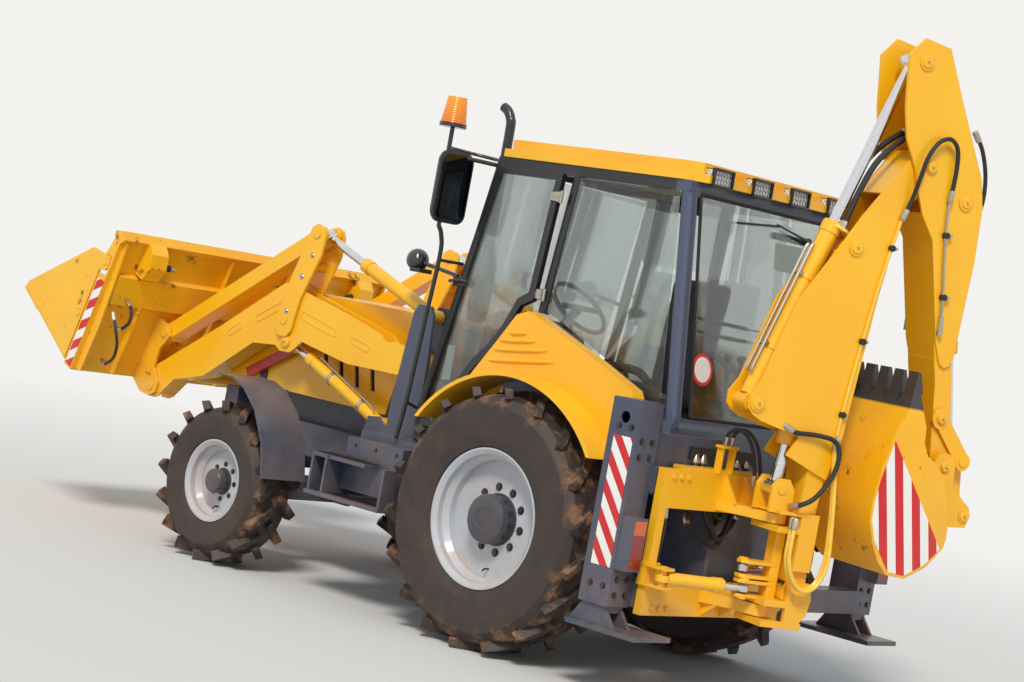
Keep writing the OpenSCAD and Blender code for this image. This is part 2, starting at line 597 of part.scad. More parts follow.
module safety_strut() color("#B5301F") vehicle() {
    y = arm_y - arm_gap / 2 - arm_t - 28;
    beam([2325, 1340], [2745, 1118], y, 36, 60);
    cross_bar([2350, 1327], 16, y - 10, y + 28 - seat_gap);
}
module tilt_levers() color(yellow) vehicle() both() difference() {
    union() {
        for (y = [-lever_out - lever_t, lever_out]) plate([
            [2085, 2095], [2141, 2112], [2188, 2085], [2250, 1900], [2292, 1790], [2358, 1560], [2368, 1450],
            [2337, 1398], [2262, 1398], [2225, 1440], [2190, 1640], [2066, 1930], [2062, 2050]
        ], arm_y + y, lever_t);
        cross_bar([2205, 1850], 28, arm_y - lever_out - 5, arm_y + lever_out + 5);
        for (s = [-1, 1]) cross_bar(lever_eye, 28, arm_y + (s > 0 ? 40 : -lever_out - lever_t - 8),
            arm_y + (s > 0 ? lever_out + lever_t + 8 : -40));
    }
    cross_bar(lever_pin, pin_r + fit, arm_y - 200, arm_y + 200);
}
module tilt_links() color(yellow) vehicle() both() difference() {
    union() {
        beam(lever_eye, link_eye, arm_y, 122, 96);
        cross_bar(lever_eye, 52, arm_y - 64, arm_y + 64);
        cross_bar(link_eye, 58, arm_y - 64, arm_y + 64);
    }
    along(lever_eye, link_eye) translate([-100, arm_y - 40, -100]) cube([350, 80, 200]);
    along(lever_eye, link_eye) translate([330, arm_y - 50, -39]) cube([1020, 100, 78]);
    cross_bar(lever_eye, 28 + fit, arm_y - 200, arm_y + 200);
}
module lift_barrels() color(yellow) vehicle() both()
    barrel(lift_pin, lift_eye, arm_y, 770, lift_r, 25, arm_gap - 2 * gap, ram_pin_r);
module lift_rods() color(chrome) vehicle() both() rod(lift_pin, lift_eye, arm_y, 765, 25, 40,
    arm_gap - 2 * gap);
module tilt_barrels() color(yellow) vehicle() both()
    barrel(tilt_pin, lever_eye, arm_y, 690, tilt_r, 25, arm_gap - 2 * gap, ram_pin_r);
module tilt_rods() color(chrome) vehicle() both() rod(tilt_pin, lever_eye, arm_y, 960, 25, 40, 68);

// Loader bucket: back section with its ears, and the hinged front section
bucket_back = [[3360, 1840], [3660, 930]];
jaw_r = 22;
module loader_bucket() color(yellow) vehicle() {
    plate([[3354, 1846], [3372, 1852], [3666, 966], [3727, 978], [3735, 962], [3655, 928]],
        -bucket_y + 4, 2 * bucket_y - 8);
    plate([[3330, 1800], [3350, 1856], [3440, 1852], [3436, 1795], [3380, 1772]],
        -bucket_y + 4, 2 * bucket_y - 8);
    plate([[3445, 1597], [3388, 1566], [3448, 1385], [3514, 1380]], -bucket_y + 60, 2 * bucket_y - 120);
    both() {
        plate([[3452, 1552], [3532, 1568], [3726, 986], [3735, 962], [3655, 928]], bucket_y - 22, 22);
        plate([[3358, 1840], [3436, 1848], [3530, 1700], [3560, 1640], [3540, 1590], [3440, 1598],
            [3400, 1700]],
            bucket_y - 44, 16);
        cross_bar(jaw_pin, jaw_r, bucket_y - 40, bucket_y - 3);
        // covers of the clam cylinders
        plate([[3430, 1600], [3350, 1570], [3285, 1650], [3280, 1740], [3320, 1800], [3375, 1800]],
            bucket_y - 330, 130);
        for (y = [0, 250, 860, 1120]) plate([[3372, 1790], [3340, 1780], [3480, 1250], [3600, 930],
            [3650, 940]], y, 14);
        for (y = [-lever_out - lever_t, lever_out]) plate([
            [3362, 1240], [3380, 1306], [3440, 1322], [3525, 1360], [3668, 930], [3570, 850], [3470, 836],
            [3412, 868], [3408, 930], [3470, 1020], [3440, 1150]
        ], arm_y + y, lever_t);
        cross_bar(bucket_pin, pin_r, arm_y - lever_out - lever_t - 5, arm_y + lever_out + lever_t + 5);
        for (s = [-1, 1]) cross_bar(link_eye, 34, arm_y + (s > 0 ? lever_out + 5 : -lever_out - lever_t - 8),
            arm_y + (s > 0 ? lever_out + lever_t + 8 : -lever_out - 5));
    }
}
module clam_jaw() color(yellow) vehicle() difference() {
    union() {
        both() plate([
            [3470, 1680], [3452, 1640], [3462, 1608], [3492, 1590], [3545, 1590], [3742, 1004], [3762, 1004],
            [4292, 1383], [4264, 1424], [3640, 1720], [3510, 1690]
        ], bucket_y - 22, 16);
        plate([[3748, 986], [4292, 1375], [4280, 1391], [3740, 1005]], -bucket_y + 8, 2 * bucket_y - 16);
        plate([[4130, 1250], [4305, 1375], [4290, 1396], [4110, 1268]], -bucket_y + 8, 2 * bucket_y - 16);
        cross_bar([3800, 1075], 45, -bucket_y + 14, bucket_y - 14);
    }
    both() cross_bar(jaw_pin, jaw_r + fit, bucket_y - 60, bucket_y + 20);
}

// Carriage that shifts along the rear rails, and the swing post on its lugs
swing_arm = 130;
crank_deg = 8;
ram_low = [-1200, 565, 650];
ram_high = [-1200, -565, 750];
post_r = 40;
module carriage() color(yellow) vehicle() difference() {
    union() {
        for (z = [[440, 180], [990, 200]]) translate([-1111, swing_y - 580, z[0]]) cube([45, 1160, z[1]]);
        for (y = [swing_y - 580, swing_y + 520]) translate([-1111, y, 600]) cube([45, 60, 410]);
        for (z = [444, 1186]) translate([-1100, swing_y - 400, z]) cube([90, 800, 20]);
        for (z = [520, 1000]) translate([0, 0, z]) linear_extrude(z < 600 ? 60 : 50) polygon([
            [-1070, swing_y - 120], [-1120, swing_y - 120], [-1250, swing_y - 62], [-1400, swing_y - 62],
            [-1438, swing_y - 48], [-1460, swing_y - 12], [-1460, swing_y + 12], [-1438, swing_y + 48],
            [-1400, swing_y + 62], [-1250, swing_y + 62], [-1120, swing_y + 120], [-1070, swing_y + 120]
        ]);
        for (y = [-90, 70]) {
            plate([[-1070, 1045], [-1210, 1045], [-1111, 1185], [-1070, 1185]], swing_y + y, 20);
            plate([[-1070, 525], [-1210, 525], [-1111, 445], [-1070, 445]], swing_y + y, 20);
        }
        for (m = [ram_low, ram_high]) {
            for (z = [-56, 40]) translate([-1240, swing_y + m[1] - 38, m[2] + z]) cube([175, 72, 16]);
            translate([m[0], swing_y + m[1], m[2] - 60]) cylinder(r = 20, h = 120);
            translate([-1111, swing_y + m[1] - 38 + (m[1] > 0 ? -40 : 0), m[2] - 60]) cube([45, 110, 120]);
        }
    }
    translate([swing_x, swing_y, 400]) cylinder(r = post_r + fit, h = 800);
}
module fork(z, t) translate([0, 0, z]) linear_extrude(t) polygon([
    [-56, -120], [190, -120], [190, -96], [66, -96], [66, 96], [190, 96], [190, 120], [-56, 120]
]);
module swing_post() color(yellow) swung() {
    fork(1056, 18);
    fork(964, 30);
    fork(586, 34);
    fork(480, 34);
    for (z = [[480, 140], [964, 110]]) translate([0, 0, z[0]]) cylinder(r = post_r, h = z[1]);
    translate([5, -34, 600]) cube([57, 68, 380]);
    for (y = [-120, 96]) plate([
        [80, 480], [150, 480], [214, 560], [228, 640], [214, 700], [206, 722], [80, 722]
    ], y, 24);
    // above the gap that the upper swing cylinder's rod passes through
    for (y = [-120, 96]) plate([[80, 778], [190, 778], [190, 1074], [80, 1074]], y, 24);
    cross_bar(boom_pin, pin_r, -124, 124);
    // cranks of the two swing cylinders
    for (c = [[ram_low[2], 1], [ram_high[2], -1]], z = [-46, 28]) translate([0, 0, c[0] + z]) {
        linear_extrude(18) polygon([[40, -34], [60, 34], [-40, 44], [-140, 42], [-168, 20], [-168, -20],
            [-140, -42],
            [-40, -44]]);
        rotate([0, 0, 180 + c[1] * crank_deg]) translate([swing_arm, 0, z < 0 ? -8 : 8])
            cylinder(r = 26, h = 18);
    }
    // ears of the boom cylinder
    for (y = [-78, 60]) plate([[-100, 1058], [40, 1058], [36, 1180], [0, 1232], [-72, 1232], [-100, 1190]],
        y, 18);
    for (s = [-1, 1]) cross_bar(boom_base, 28, s > 0 ? 60 : -84, s > 0 ? 84 : -60);
}
function crank(c) = [swing_x + swing_arm * cos(swing_deg + c * crank_deg),
    swing_y + swing_arm * sin(swing_deg + c * crank_deg)];
module level(base, c) {
    e = crank(c);
    b = [base[0], swing_y + base[1]];
    translate([b[0], b[1], base[2]]) rotate([0, 0, atan2(e[1] - b[1], e[0] - b[0])]) rotate([90, 0, 0])
        children();
}
function reach(base, c) = norm([base[0], swing_y + base[1]] - crank(c));
module swing_barrel(base, c) color(yellow) vehicle() level(base, c)
    barrel([0, 0], [1, 0], 0, 350, 34, 18, 34, 20);
module swing_rod(base, c) color(chrome) vehicle() level(base, c)
    rod([0, 0], [reach(base, c), 0], 0, 395, 18, 32, 30);

// Boom: main plates, and a narrower neck that stands between the post's ears
boom_main = [
    [193, 1257], [250, 1483], [309, 2210], [374, 2690], [520, 2846], [566, 2920], [548, 2984], [480, 3012],
    [392, 2996], [132, 2621], [-6, 2392], [-167, 2135], [-300, 1700], [-352, 1625], [-350, 1560],
    [-318, 1530],
    [-261, 1504], [-15, 1454], [-74, 1354], [83, 1296]
];
boom_neck = [
    [140, 566], [186, 582], [212, 622], [214, 668], [196, 720], [176, 995], [193, 1257], [250, 1483],
    [235, 1600],
    [120, 1560], [83, 1296], [71, 984], [84, 720], [66, 668], [68, 622], [94, 582]
];
module boom() color(yellow) swung() difference() {
    union() {
        for (y = [-boom_y, boom_y - boom_t]) plate(boom_main, y, boom_t);
        for (y = [-90, 76]) plate(boom_neck, y, 15);
        plate([[71, 984], [83, 1296], [95, 1400], [109, 1400], [97, 1296], [85, 984], [98, 720], [84, 720]],
            -80, 160);
        plate([[196, 720], [176, 995], [193, 1257], [250, 1483], [309, 2210], [374, 2690], [362, 2684],
            [296, 2210],
            [236, 1483], [180, 1257], [162, 995], [182, 720]], -80, 160);
        plate([[250, 1483], [309, 2210], [374, 2690], [520, 2846], [508, 2850], [362, 2696], [296, 2212],
            [237, 1490]],
            -boom_y + 5, 2 * boom_y - 10);
        plate([[220, 2747], [392, 2996], [480, 3012], [478, 2998], [400, 2984], [232, 2740]],
            -boom_y + 5, 2 * boom_y - 10);
        cross_bar(boom_pin, 66, -90, 90);
        cross_bar(dipper_pin, 62, -boom_y, boom_y);
        for (s = [-1, 1]) for (p = [boom_eye, dipper_base])
            cross_bar(p, 46, s > 0 ? boom_y - 5 : -boom_y - 8, s > 0 ? boom_y + 8 : -boom_y + 5);
        for (p = [dipper_base, boom_eye]) cross_bar(p, 28, -boom_y, boom_y);
    }
    cross_bar(boom_pin, pin_r + fit, -300, 300);
    cross_bar(dipper_pin, 34 + fit, -300, 300);
}
module boom_barrel() color(yellow) swung() barrel(boom_eye, boom_base, 0, 1060, 56, 32, 106, 28);
module boom_rod() color(chrome) swung() rod(boom_eye, boom_base, 0, 1195, 32, 42, 112);

// Dipper: outer doublers carry the hinge, a box carries the lower end
doubler_t = 14;
doubler = [
    [215, 3463], [300, 3560], [464, 3540], [592, 3306], [809, 2925], [850, 2795], [862, 2490], [850, 2205],
    [840, 1980], [822, 1940], [791, 1925], [760, 1940], [742, 1975], [706, 2055], [567, 2565], [475, 2680],
    [420, 2800], [380, 2900], [293, 3039], [250, 3200]
];
dipper_box = [
    [464, 3538], [430, 3500], [520, 3250], [604, 3080], [622, 2930], [604, 2850], [560, 2790], [478, 2690],
    [567, 2565], [706, 2055], [761, 1850], [815, 1480], [826, 1400], [850, 1366], [885, 1356], [922, 1368],
    [944, 1400], [947, 1440], [940, 1480], [870, 1850], [840, 1980], [850, 2205], [862, 2490], [850, 2795],
    [809, 2925], [592, 3306]
];
module dipper() color(yellow) swung() difference() {
    union() {
        for (y = [-dipper_y - doubler_t, dipper_y]) plate(doubler, y, doubler_t);
        for (y = [-dipper_y, dipper_y - boom_t]) plate(dipper_box, y, boom_t);
        // covers: left side of the box, top right, and the closed lower arm
        plate([[478, 2690], [567, 2565], [706, 2055], [761, 1850], [776, 1850], [721, 2060], [581, 2570],
            [492, 2698]],
            -dipper_y + 5, 2 * dipper_y - 10);
        plate([[464, 3538], [592, 3306], [809, 2925], [850, 2795], [838, 2790], [797, 2920], [580, 3300],
            [454, 3526]],
            -dipper_y + 5, 2 * dipper_y - 10);
        plate([[761, 1850], [815, 1480], [934, 1480], [864, 1850], [826, 1965], [728, 1965]],
            -dipper_y + 5, 2 * dipper_y - 10);
        cross_bar(hoe_pin, 58, -dipper_y, dipper_y);
        cross_bar(dipper_pin, 34, -dipper_y - doubler_t - 10, dipper_y + doubler_t + 10);
        cross_bar(rocker_pin, 30, -140, 140);
        cross_bar(curl_base, 28, -dipper_y, dipper_y);
        for (s = [-1, 1]) for (p = [dipper_eye, curl_base])
            cross_bar(p, 46, s > 0 ? dipper_y + 5 : -dipper_y - doubler_t - 8,
                s > 0 ? dipper_y + doubler_t + 8 : -dipper_y - 5);
    }
    cross_bar(hoe_pin, pin_r + fit, -300, 300);
}
module dipper_barrel() color(yellow) swung() barrel(dipper_base, dipper_eye, 0, 1020, 50, 30, 100, 28);
module dipper_rod() color(chrome) swung() rod(dipper_base, dipper_eye, 0, 1010, 30, 48, 110);

// Bucket linkage of the backhoe
module bucket_barrel() color(yellow) swung() barrel(curl_base, curl_eye, 0, 800, 46, 28, 100, 28);
module bucket_rod() color(chrome) swung() rod(curl_base, curl_eye, 0, 780, 28, 42, 60);
module rocker() color(yellow) swung() difference() {
    union() {
        for (y = [-132, 117]) {
            beam(rocker_pin, curl_eye, y + 7.5, 12, 86);
            cross_bar(rocker_pin, 56, y, y + 15);
            cross_bar(curl_eye, 48, y, y + 15);
        }
        for (s = [-1, 1]) cross_bar(curl_eye, 26, s > 0 ? 36 : -138, s > 0 ? 138 : -36);
    }
    cross_bar(rocker_pin, 30 + fit, -300, 300);
}
module hoe_link() color(yellow) swung() difference() {
    union() {
        for (y = [-80, 42]) {
            beam(curl_eye, hoe_link_pin, y + 19, 34, 74);
            cross_bar(curl_eye, 46, y, y + 38);
            cross_bar(hoe_link_pin, 44, y, y + 38);
        }
        cross_bar(hoe_link_pin, 40, -130, 130);
    }
    cross_bar(curl_eye, 26 + fit, -300, 300);
}
hoe_back = [
    [540, 1765], [500, 1700], [439, 1560], [400, 1400], [386, 1313], [372, 1200], [376, 1102], [413, 997],
    [470, 900], [540, 836], [656, 829], [780, 900], [869, 1009], [880, 1060]
];
hoe_inside = [
    [864, 1064], [855, 1016], [770, 915], [652, 845], [546, 852], [483, 910], [428, 1004], [392, 1104],
    [388, 1200], [402, 1311], [416, 1397], [454, 1554], [514, 1693], [556, 1758]
];
hoe_edge = [[870, 1200], [800, 1370], [720, 1440], [669, 1467], [632, 1530], [625, 1609], [585, 1700],
    [554, 1762]];
hoe_teeth = 5;
tooth_w = 76;
module hoe_bucket() color(yellow) swung() {
    for (y = [-hoe_y, hoe_y - 14]) plate(concat(hoe_back, hoe_edge), y, 14);
    plate(concat(hoe_back, hoe_inside), -hoe_y + 5, 2 * hoe_y - 10);
    // ears from the bucket's back over the hinge to the link
    for (y = [-166, 146]) plate([
        [600, 862], [656, 832], [778, 905], [866, 1012], [975, 1113], [1085, 1120], [1104, 1180],
        [1090, 1228],
        [1040, 1262], [960, 1330], [952, 1440], [930, 1478], [885, 1494], [838, 1480], [812, 1440],
        [800, 1370],
        [790, 1200], [700, 1000]
    ], y, 20);
    cross_bar(hoe_pin, pin_r, -172, 172);
    for (s = [-1, 1]) cross_bar(hoe_link_pin, 36, s > 0 ? 150 : -172, s > 0 ? 172 : -150);
    for (i = [0 : hoe_teeth - 1])
        plate([[498, 1690], [545, 1722], [562, 1790], [530, 1884], [514, 1884], [504, 1790]],
            -hoe_y + 2 + i * (2 * hoe_y - tooth_w - 4) / (hoe_teeth - 1), tooth_w);
}

// The line each node is drawn by
main_frame();
rear_frame();
front_axle();
rear_axle();
engine();
cab_frame();
cab_roof();
cab_glass();
cab_console();
seat();
rear_fenders();
side_tanks();
exhaust();
beacon();
mirrors();
lamps();
rear_tyre(true);  // rear_tyre_left
rear_tyre(false);  // rear_tyre_right
rear_rim(true);  // rear_rim_left
rear_rim(false);  // rear_rim_right
front_tyre(true);  // front_tyre_left
front_tyre(false);  // front_tyre_right
front_rim(true);  // front_rim_left
front_rim(false);  // front_rim_right
knuckle(true);  // knuckle_left
knuckle(false);  // knuckle_right
door(true);  // door_left
door(false);  // door_right
door_pane(true);  // door_glass_left
door_pane(false);  // door_glass_right
bonnet();
loader_arms();
safety_strut();
loader_bucket();
clam_jaw();
lift_barrels();
lift_rods();
tilt_levers();
tilt_links();
tilt_barrels();
tilt_rods();
stabiliser(true);  // stabiliser_left
stabiliser(false);  // stabiliser_right
carriage();
swing_post();
swing_barrel(ram_low, 1);  // swing_barrel_lower
swing_rod(ram_low, 1);  // swing_rod_lower
swing_barrel(ram_high, -1);  // swing_barrel_upper
swing_rod(ram_high, -1);  // swing_rod_upper
boom();
boom_barrel();
boom_rod();
dipper();
dipper_barrel();
dipper_rod();
bucket_barrel();
bucket_rod();
rocker();
hoe_link();
hoe_bucket();
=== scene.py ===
# %% [markdown]
# A backhoe loader is a tractor with a loading bucket in front and a digging arm behind.
# Its steelwork, wheels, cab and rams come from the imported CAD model, which is the fixed frame here.
# This script gives each of them its paint, rubber, glass or chrome, and adds what is too small for
# the CAD: bolts, hoses, pipes, lamp cages, stripes, seals, handles and the padded seat.

# %% Load the frame
import math

import bmesh
import bpy
import numpy as np
from mathutils import Matrix, Vector


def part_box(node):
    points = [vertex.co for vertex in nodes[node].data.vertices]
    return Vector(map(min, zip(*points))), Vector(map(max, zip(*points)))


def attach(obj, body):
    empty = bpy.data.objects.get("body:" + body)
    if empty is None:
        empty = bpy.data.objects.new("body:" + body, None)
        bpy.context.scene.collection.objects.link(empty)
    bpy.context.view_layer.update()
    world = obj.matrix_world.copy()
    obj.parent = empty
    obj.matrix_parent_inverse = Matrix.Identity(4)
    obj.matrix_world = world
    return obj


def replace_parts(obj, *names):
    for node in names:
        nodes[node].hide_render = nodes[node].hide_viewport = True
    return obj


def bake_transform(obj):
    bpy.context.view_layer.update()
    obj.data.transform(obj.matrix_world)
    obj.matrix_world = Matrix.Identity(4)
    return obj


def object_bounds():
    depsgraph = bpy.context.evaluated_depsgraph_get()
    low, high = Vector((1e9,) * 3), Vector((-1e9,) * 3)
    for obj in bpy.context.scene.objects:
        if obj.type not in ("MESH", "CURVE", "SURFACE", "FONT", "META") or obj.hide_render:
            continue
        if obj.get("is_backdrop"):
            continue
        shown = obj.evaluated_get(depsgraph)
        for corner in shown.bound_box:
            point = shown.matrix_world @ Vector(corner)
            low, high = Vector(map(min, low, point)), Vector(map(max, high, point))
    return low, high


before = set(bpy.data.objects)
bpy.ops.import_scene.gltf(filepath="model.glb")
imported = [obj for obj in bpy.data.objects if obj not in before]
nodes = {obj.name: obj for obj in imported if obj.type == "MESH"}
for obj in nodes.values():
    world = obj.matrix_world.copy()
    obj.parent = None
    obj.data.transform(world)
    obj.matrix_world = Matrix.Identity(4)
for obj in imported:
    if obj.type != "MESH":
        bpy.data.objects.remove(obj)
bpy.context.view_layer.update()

# %% [markdown]
# Two sets of coordinates keep the numbers readable. Most pieces are given from the rear axle,
# in metres: forward, to the left, up. The digging arm is folded sideways, so its pieces are given
# in its own upright plane: distance out from the swing axis, distance across, height.

# %% Places on the machine
tyre_low, tyre_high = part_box("rear_tyre_left")
rear_axle = (tyre_low.x + tyre_high.x) / 2
SWING_AXIS = (-1.400, 0.420)
SWING_TURN = math.radians(251)


def place(x, y, z):
    return Vector((x + rear_axle, y, z))


def arm(out, across, up):
    c, s = math.cos(SWING_TURN), math.sin(SWING_TURN)
    return place(SWING_AXIS[0] + out * c - across * s, SWING_AXIS[1] + out * s + across * c, up)


def run(where, side, *points):
    """Points of a line as they lie where side is 1, and mirrored where it is -1."""
    return [where(x, side * y, z) for x, y, z in points]


def in_arm(direction):
    return arm(*direction) - arm(0, 0, 0)


print("rear axle at", round(rear_axle, 3))

# %% [markdown]
# The camera stands behind the machine on its left, a little above the tyres, with a long lens.
# The machine was on a slope, so the camera is rolled by ten degrees instead, and the floor is level.

# %% Camera
def new_object(name, data):
    made = bpy.data.objects.new(name, data)
    bpy.context.scene.collection.objects.link(made)
    return made


CAMERA_AT = (-8.2100, 9.9075, 1.9330)
CAMERA_RIGHT = Vector((-0.71768, -0.67320, 0.17816))
CAMERA_UP = Vector((0.14561, 0.10512, 0.98374))
CAMERA_BACK = Vector((-0.68098, 0.73195, 0.02258))
LENS_MM = 80.1

camera_data = bpy.data.cameras.new("camera")
camera_data.lens = LENS_MM
camera_data.sensor_width = 36
camera_data.clip_end = 200
camera = new_object("camera", camera_data)
turn = Matrix((CAMERA_RIGHT, CAMERA_UP, CAMERA_BACK)).transposed()
camera.matrix_world = Matrix.Translation(place(*CAMERA_AT)) @ turn.to_4x4()
bpy.context.scene.camera = camera

# %% [markdown]
# A plain pale floor carries the shadow. Far from the machine it fades into the same pale tone
# as the world, so no horizon shows. One broad lamp stands for the sun through thin cloud, and the
# world fills the shade. Light Path keeps the background's tone apart from the light on the paint.

# %% Shader helpers
def new_material(name):
    material = bpy.data.materials.new(name)
    material.use_nodes = True
    material.node_tree.nodes.clear()
    return material, material.node_tree


def node(tree, kind, inputs=None, **settings):
    made = tree.nodes.new(kind)
    for key, value in settings.items():
        setattr(made, key, value)
    for key, value in (inputs or {}).items():
        if isinstance(value, bpy.types.NodeSocket):
            tree.links.new(value, made.inputs[key])
        else:
            made.inputs[key].default_value = value
    return made


def maths(tree, operation, a, b=0.0, clamp=False):
    return node(tree, "ShaderNodeMath", {0: a, 1: b}, operation=operation, use_clamp=clamp).outputs[0]


def times(tree, a, b, clamp=False):
    return maths(tree, "MULTIPLY", a, b, clamp)


def spread(tree, value, low, high, out_low=0.0, out_high=1.0):
    made = node(tree, "ShaderNodeMapRange", {"Value": value, "From Min": low, "From Max": high,
                                             "To Min": out_low, "To Max": out_high})
    return made.outputs["Result"]


def blend_colour(tree, factor, a, b):
    return node(tree, "ShaderNodeMix", {0: factor, 6: a, 7: b}, data_type="RGBA").outputs[2]


def object_at(tree):
    return node(tree, "ShaderNodeTexCoord").outputs["Object"]


def noise(tree, at, scale, detail, rough=0.5):
    return node(tree, "ShaderNodeTexNoise", {"Vector": at, "Scale": scale, "Detail": detail,
                                             "Roughness": rough}).outputs["Fac"]


def part_of(tree, vector, axis):
    return node(tree, "ShaderNodeSeparateXYZ", {0: vector}).outputs[axis]


def waves(tree, at, scale, bands_direction="Z", distortion=0.0):
    return node(tree, "ShaderNodeTexWave", {"Vector": at, "Scale": scale, "Distortion": distortion},
                bands_direction=bands_direction).outputs["Fac"]


def bumped(tree, height, strength, distance, normal=None):
    inputs = {"Height": height, "Strength": strength, "Distance": distance}
    if normal:
        inputs["Normal"] = normal
    return node(tree, "ShaderNodeBump", inputs).outputs[0]


def surface(tree, inputs):
    shader = node(tree, "ShaderNodeBsdfPrincipled", inputs)
    node(tree, "ShaderNodeOutputMaterial", {"Surface": shader.outputs[0]})


def reach_from_axis(tree, at, axis_at):
    """Distance of the surface from a wheel's axis."""
    centred = node(tree, "ShaderNodeMapping", {"Vector": at, "Location": (-axis_at.x, 0, -axis_at.z)})
    flat = node(tree, "ShaderNodeVectorMath", {0: centred.outputs[0], 1: (1, 0, 1)}, operation="MULTIPLY")
    return node(tree, "ShaderNodeVectorMath", {0: flat.outputs[0]}, operation="LENGTH").outputs["Value"]


def recoloured(name, first, change):
    """A copy of the first paint, whose colour is what change(tree, at, own colour) gives."""
    material = first.copy()
    material.name = name
    tree = material.node_tree
    shader = next(n for n in tree.nodes if n.type == "BSDF_PRINCIPLED")
    own = shader.inputs["Base Color"].links[0].from_socket
    tree.links.new(change(tree, object_at(tree), own), shader.inputs["Base Color"])
    return material


def rgb(red, green, blue):
    """Screen values of 0 to 255 as linear light."""
    def linear(c):
        c /= 255
        return c / 12.92 if c <= 0.04045 else ((c + 0.055) / 1.055) ** 2.4
    return (linear(red), linear(green), linear(blue), 1.0)


# %% World, lamps and floor
BACKDROP = (0.90, 0.89, 0.87, 1.0)
SKY_LIGHT = 0.62
SUN_LIGHT = 2.3

world = bpy.data.worlds.new("studio")
bpy.context.scene.world = world
world.use_nodes = True
tree = world.node_tree
tree.nodes.clear()
path = node(tree, "ShaderNodeLightPath")
seen = maths(tree, "MAXIMUM", path.outputs["Is Camera Ray"], path.outputs["Is Transmission Ray"])
seen = maths(tree, "MAXIMUM", seen, path.outputs["Is Glossy Ray"])
light = node(tree, "ShaderNodeBackground", {"Color": (0.86, 0.93, 1.0, 1.0), "Strength": SKY_LIGHT})
shown = node(tree, "ShaderNodeBackground", {"Color": BACKDROP, "Strength": 1.0})
choose = node(tree, "ShaderNodeMixShader", {0: seen, 1: light.outputs[0], 2: shown.outputs[0]})
node(tree, "ShaderNodeOutputWorld", {"Surface": choose.outputs[0]})

sun_data = bpy.data.lights.new("sun", "SUN")
sun_data.energy = SUN_LIGHT
sun_data.angle = math.radians(14)
sun_data.color = (1.0, 0.96, 0.90)
sun = new_object("sun", sun_data)
sun.rotation_euler = Vector((-0.42, 0.62, 0.80)).to_track_quat("Z", "Y").to_euler()

FLOOR_HALF = 60.0
floor_mesh = bpy.data.meshes.new("floor")
corners = [(-FLOOR_HALF, -FLOOR_HALF, 0), (FLOOR_HALF, -FLOOR_HALF, 0),
           (FLOOR_HALF, FLOOR_HALF, 0), (-FLOOR_HALF, FLOOR_HALF, 0)]
floor_mesh.from_pydata(corners, [], [(0, 1, 2, 3)])
floor = new_object("floor", floor_mesh)
material, tree = new_material("floor")
reach = node(tree, "ShaderNodeVectorMath", {0: object_at(tree)}, operation="LENGTH").outputs["Value"]
far = spread(tree, reach, 5.0, 13.0)
matte = node(tree, "ShaderNodeBsdfDiffuse", {"Color": (0.66, 0.65, 0.63, 1.0)})
glow = node(tree, "ShaderNodeEmission", {"Color": BACKDROP, "Strength": 1.0})
path = node(tree, "ShaderNodeLightPath")
far = times(tree, far, path.outputs["Is Camera Ray"])
choose = node(tree, "ShaderNodeMixShader", {0: far, 1: matte.outputs[0], 2: glow.outputs[0]})
node(tree, "ShaderNodeOutputMaterial", {"Surface": choose.outputs[0]})
floor.data.materials.append(material)
floor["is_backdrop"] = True
bpy.context.scene.view_settings.view_transform = "Standard"

# %% [markdown]
# Dust and wear belong to almost every surface of a working machine. Dust settles low down, on
# faces that look upwards, and in patches. Wear shows along edges, where paint has been knocked
# off. Each effect is one node group, built once, which puts out masks; every paint mixes them
# with its own colours. The Bevel node's normal differs from the true one only near an edge,
# which gives both the wear mask and a soft highlight along each plate's edge.

# %% Dust and edge groups
def new_group(name, inputs, outputs):
    """Shader group with sockets given as (name, kind); who uses it sets every input."""
    group = bpy.data.node_groups.new(name, "ShaderNodeTree")
    for way, sockets in (("INPUT", inputs), ("OUTPUT", outputs)):
        for label, kind in sockets:
            group.interface.new_socket(label, in_out=way, socket_type=kind)
    return group, node(group, "NodeGroupInput").outputs, node(group, "NodeGroupOutput").inputs


FLOAT, VECTOR = "NodeSocketFloat", "NodeSocketVector"

dust_group, given, out = new_group(
    "dust", [("Vector", VECTOR), ("Amount", FLOAT), ("Top", FLOAT)],
    [("Mask", FLOAT)])
clouds = noise(dust_group, given["Vector"], 3.0, 6.0, 0.62)
grains = noise(dust_group, given["Vector"], 90.0, 3.0, 0.7)
height = part_of(dust_group, given["Vector"], "Z")
low = spread(dust_group, height, 0.1, given["Top"], 1.0, 0.0)
facing = node(dust_group, "ShaderNodeNewGeometry").outputs["Normal"]
lying = spread(dust_group, part_of(dust_group, facing, "Z"), 0.35, 1.0, 0.0, 0.55)
sum_up = maths(dust_group, "ADD", low, lying)
patchy = spread(dust_group, clouds, 0.38, 0.66)
mask = times(dust_group, times(dust_group, sum_up, patchy), given["Amount"])
fine = spread(dust_group, grains, 0.35, 0.65)
fine = maths(dust_group, "ADD", times(dust_group, fine, 0.6), 0.5)
mask = times(dust_group, mask, fine, clamp=True)
dust_group.links.new(mask, out["Mask"])

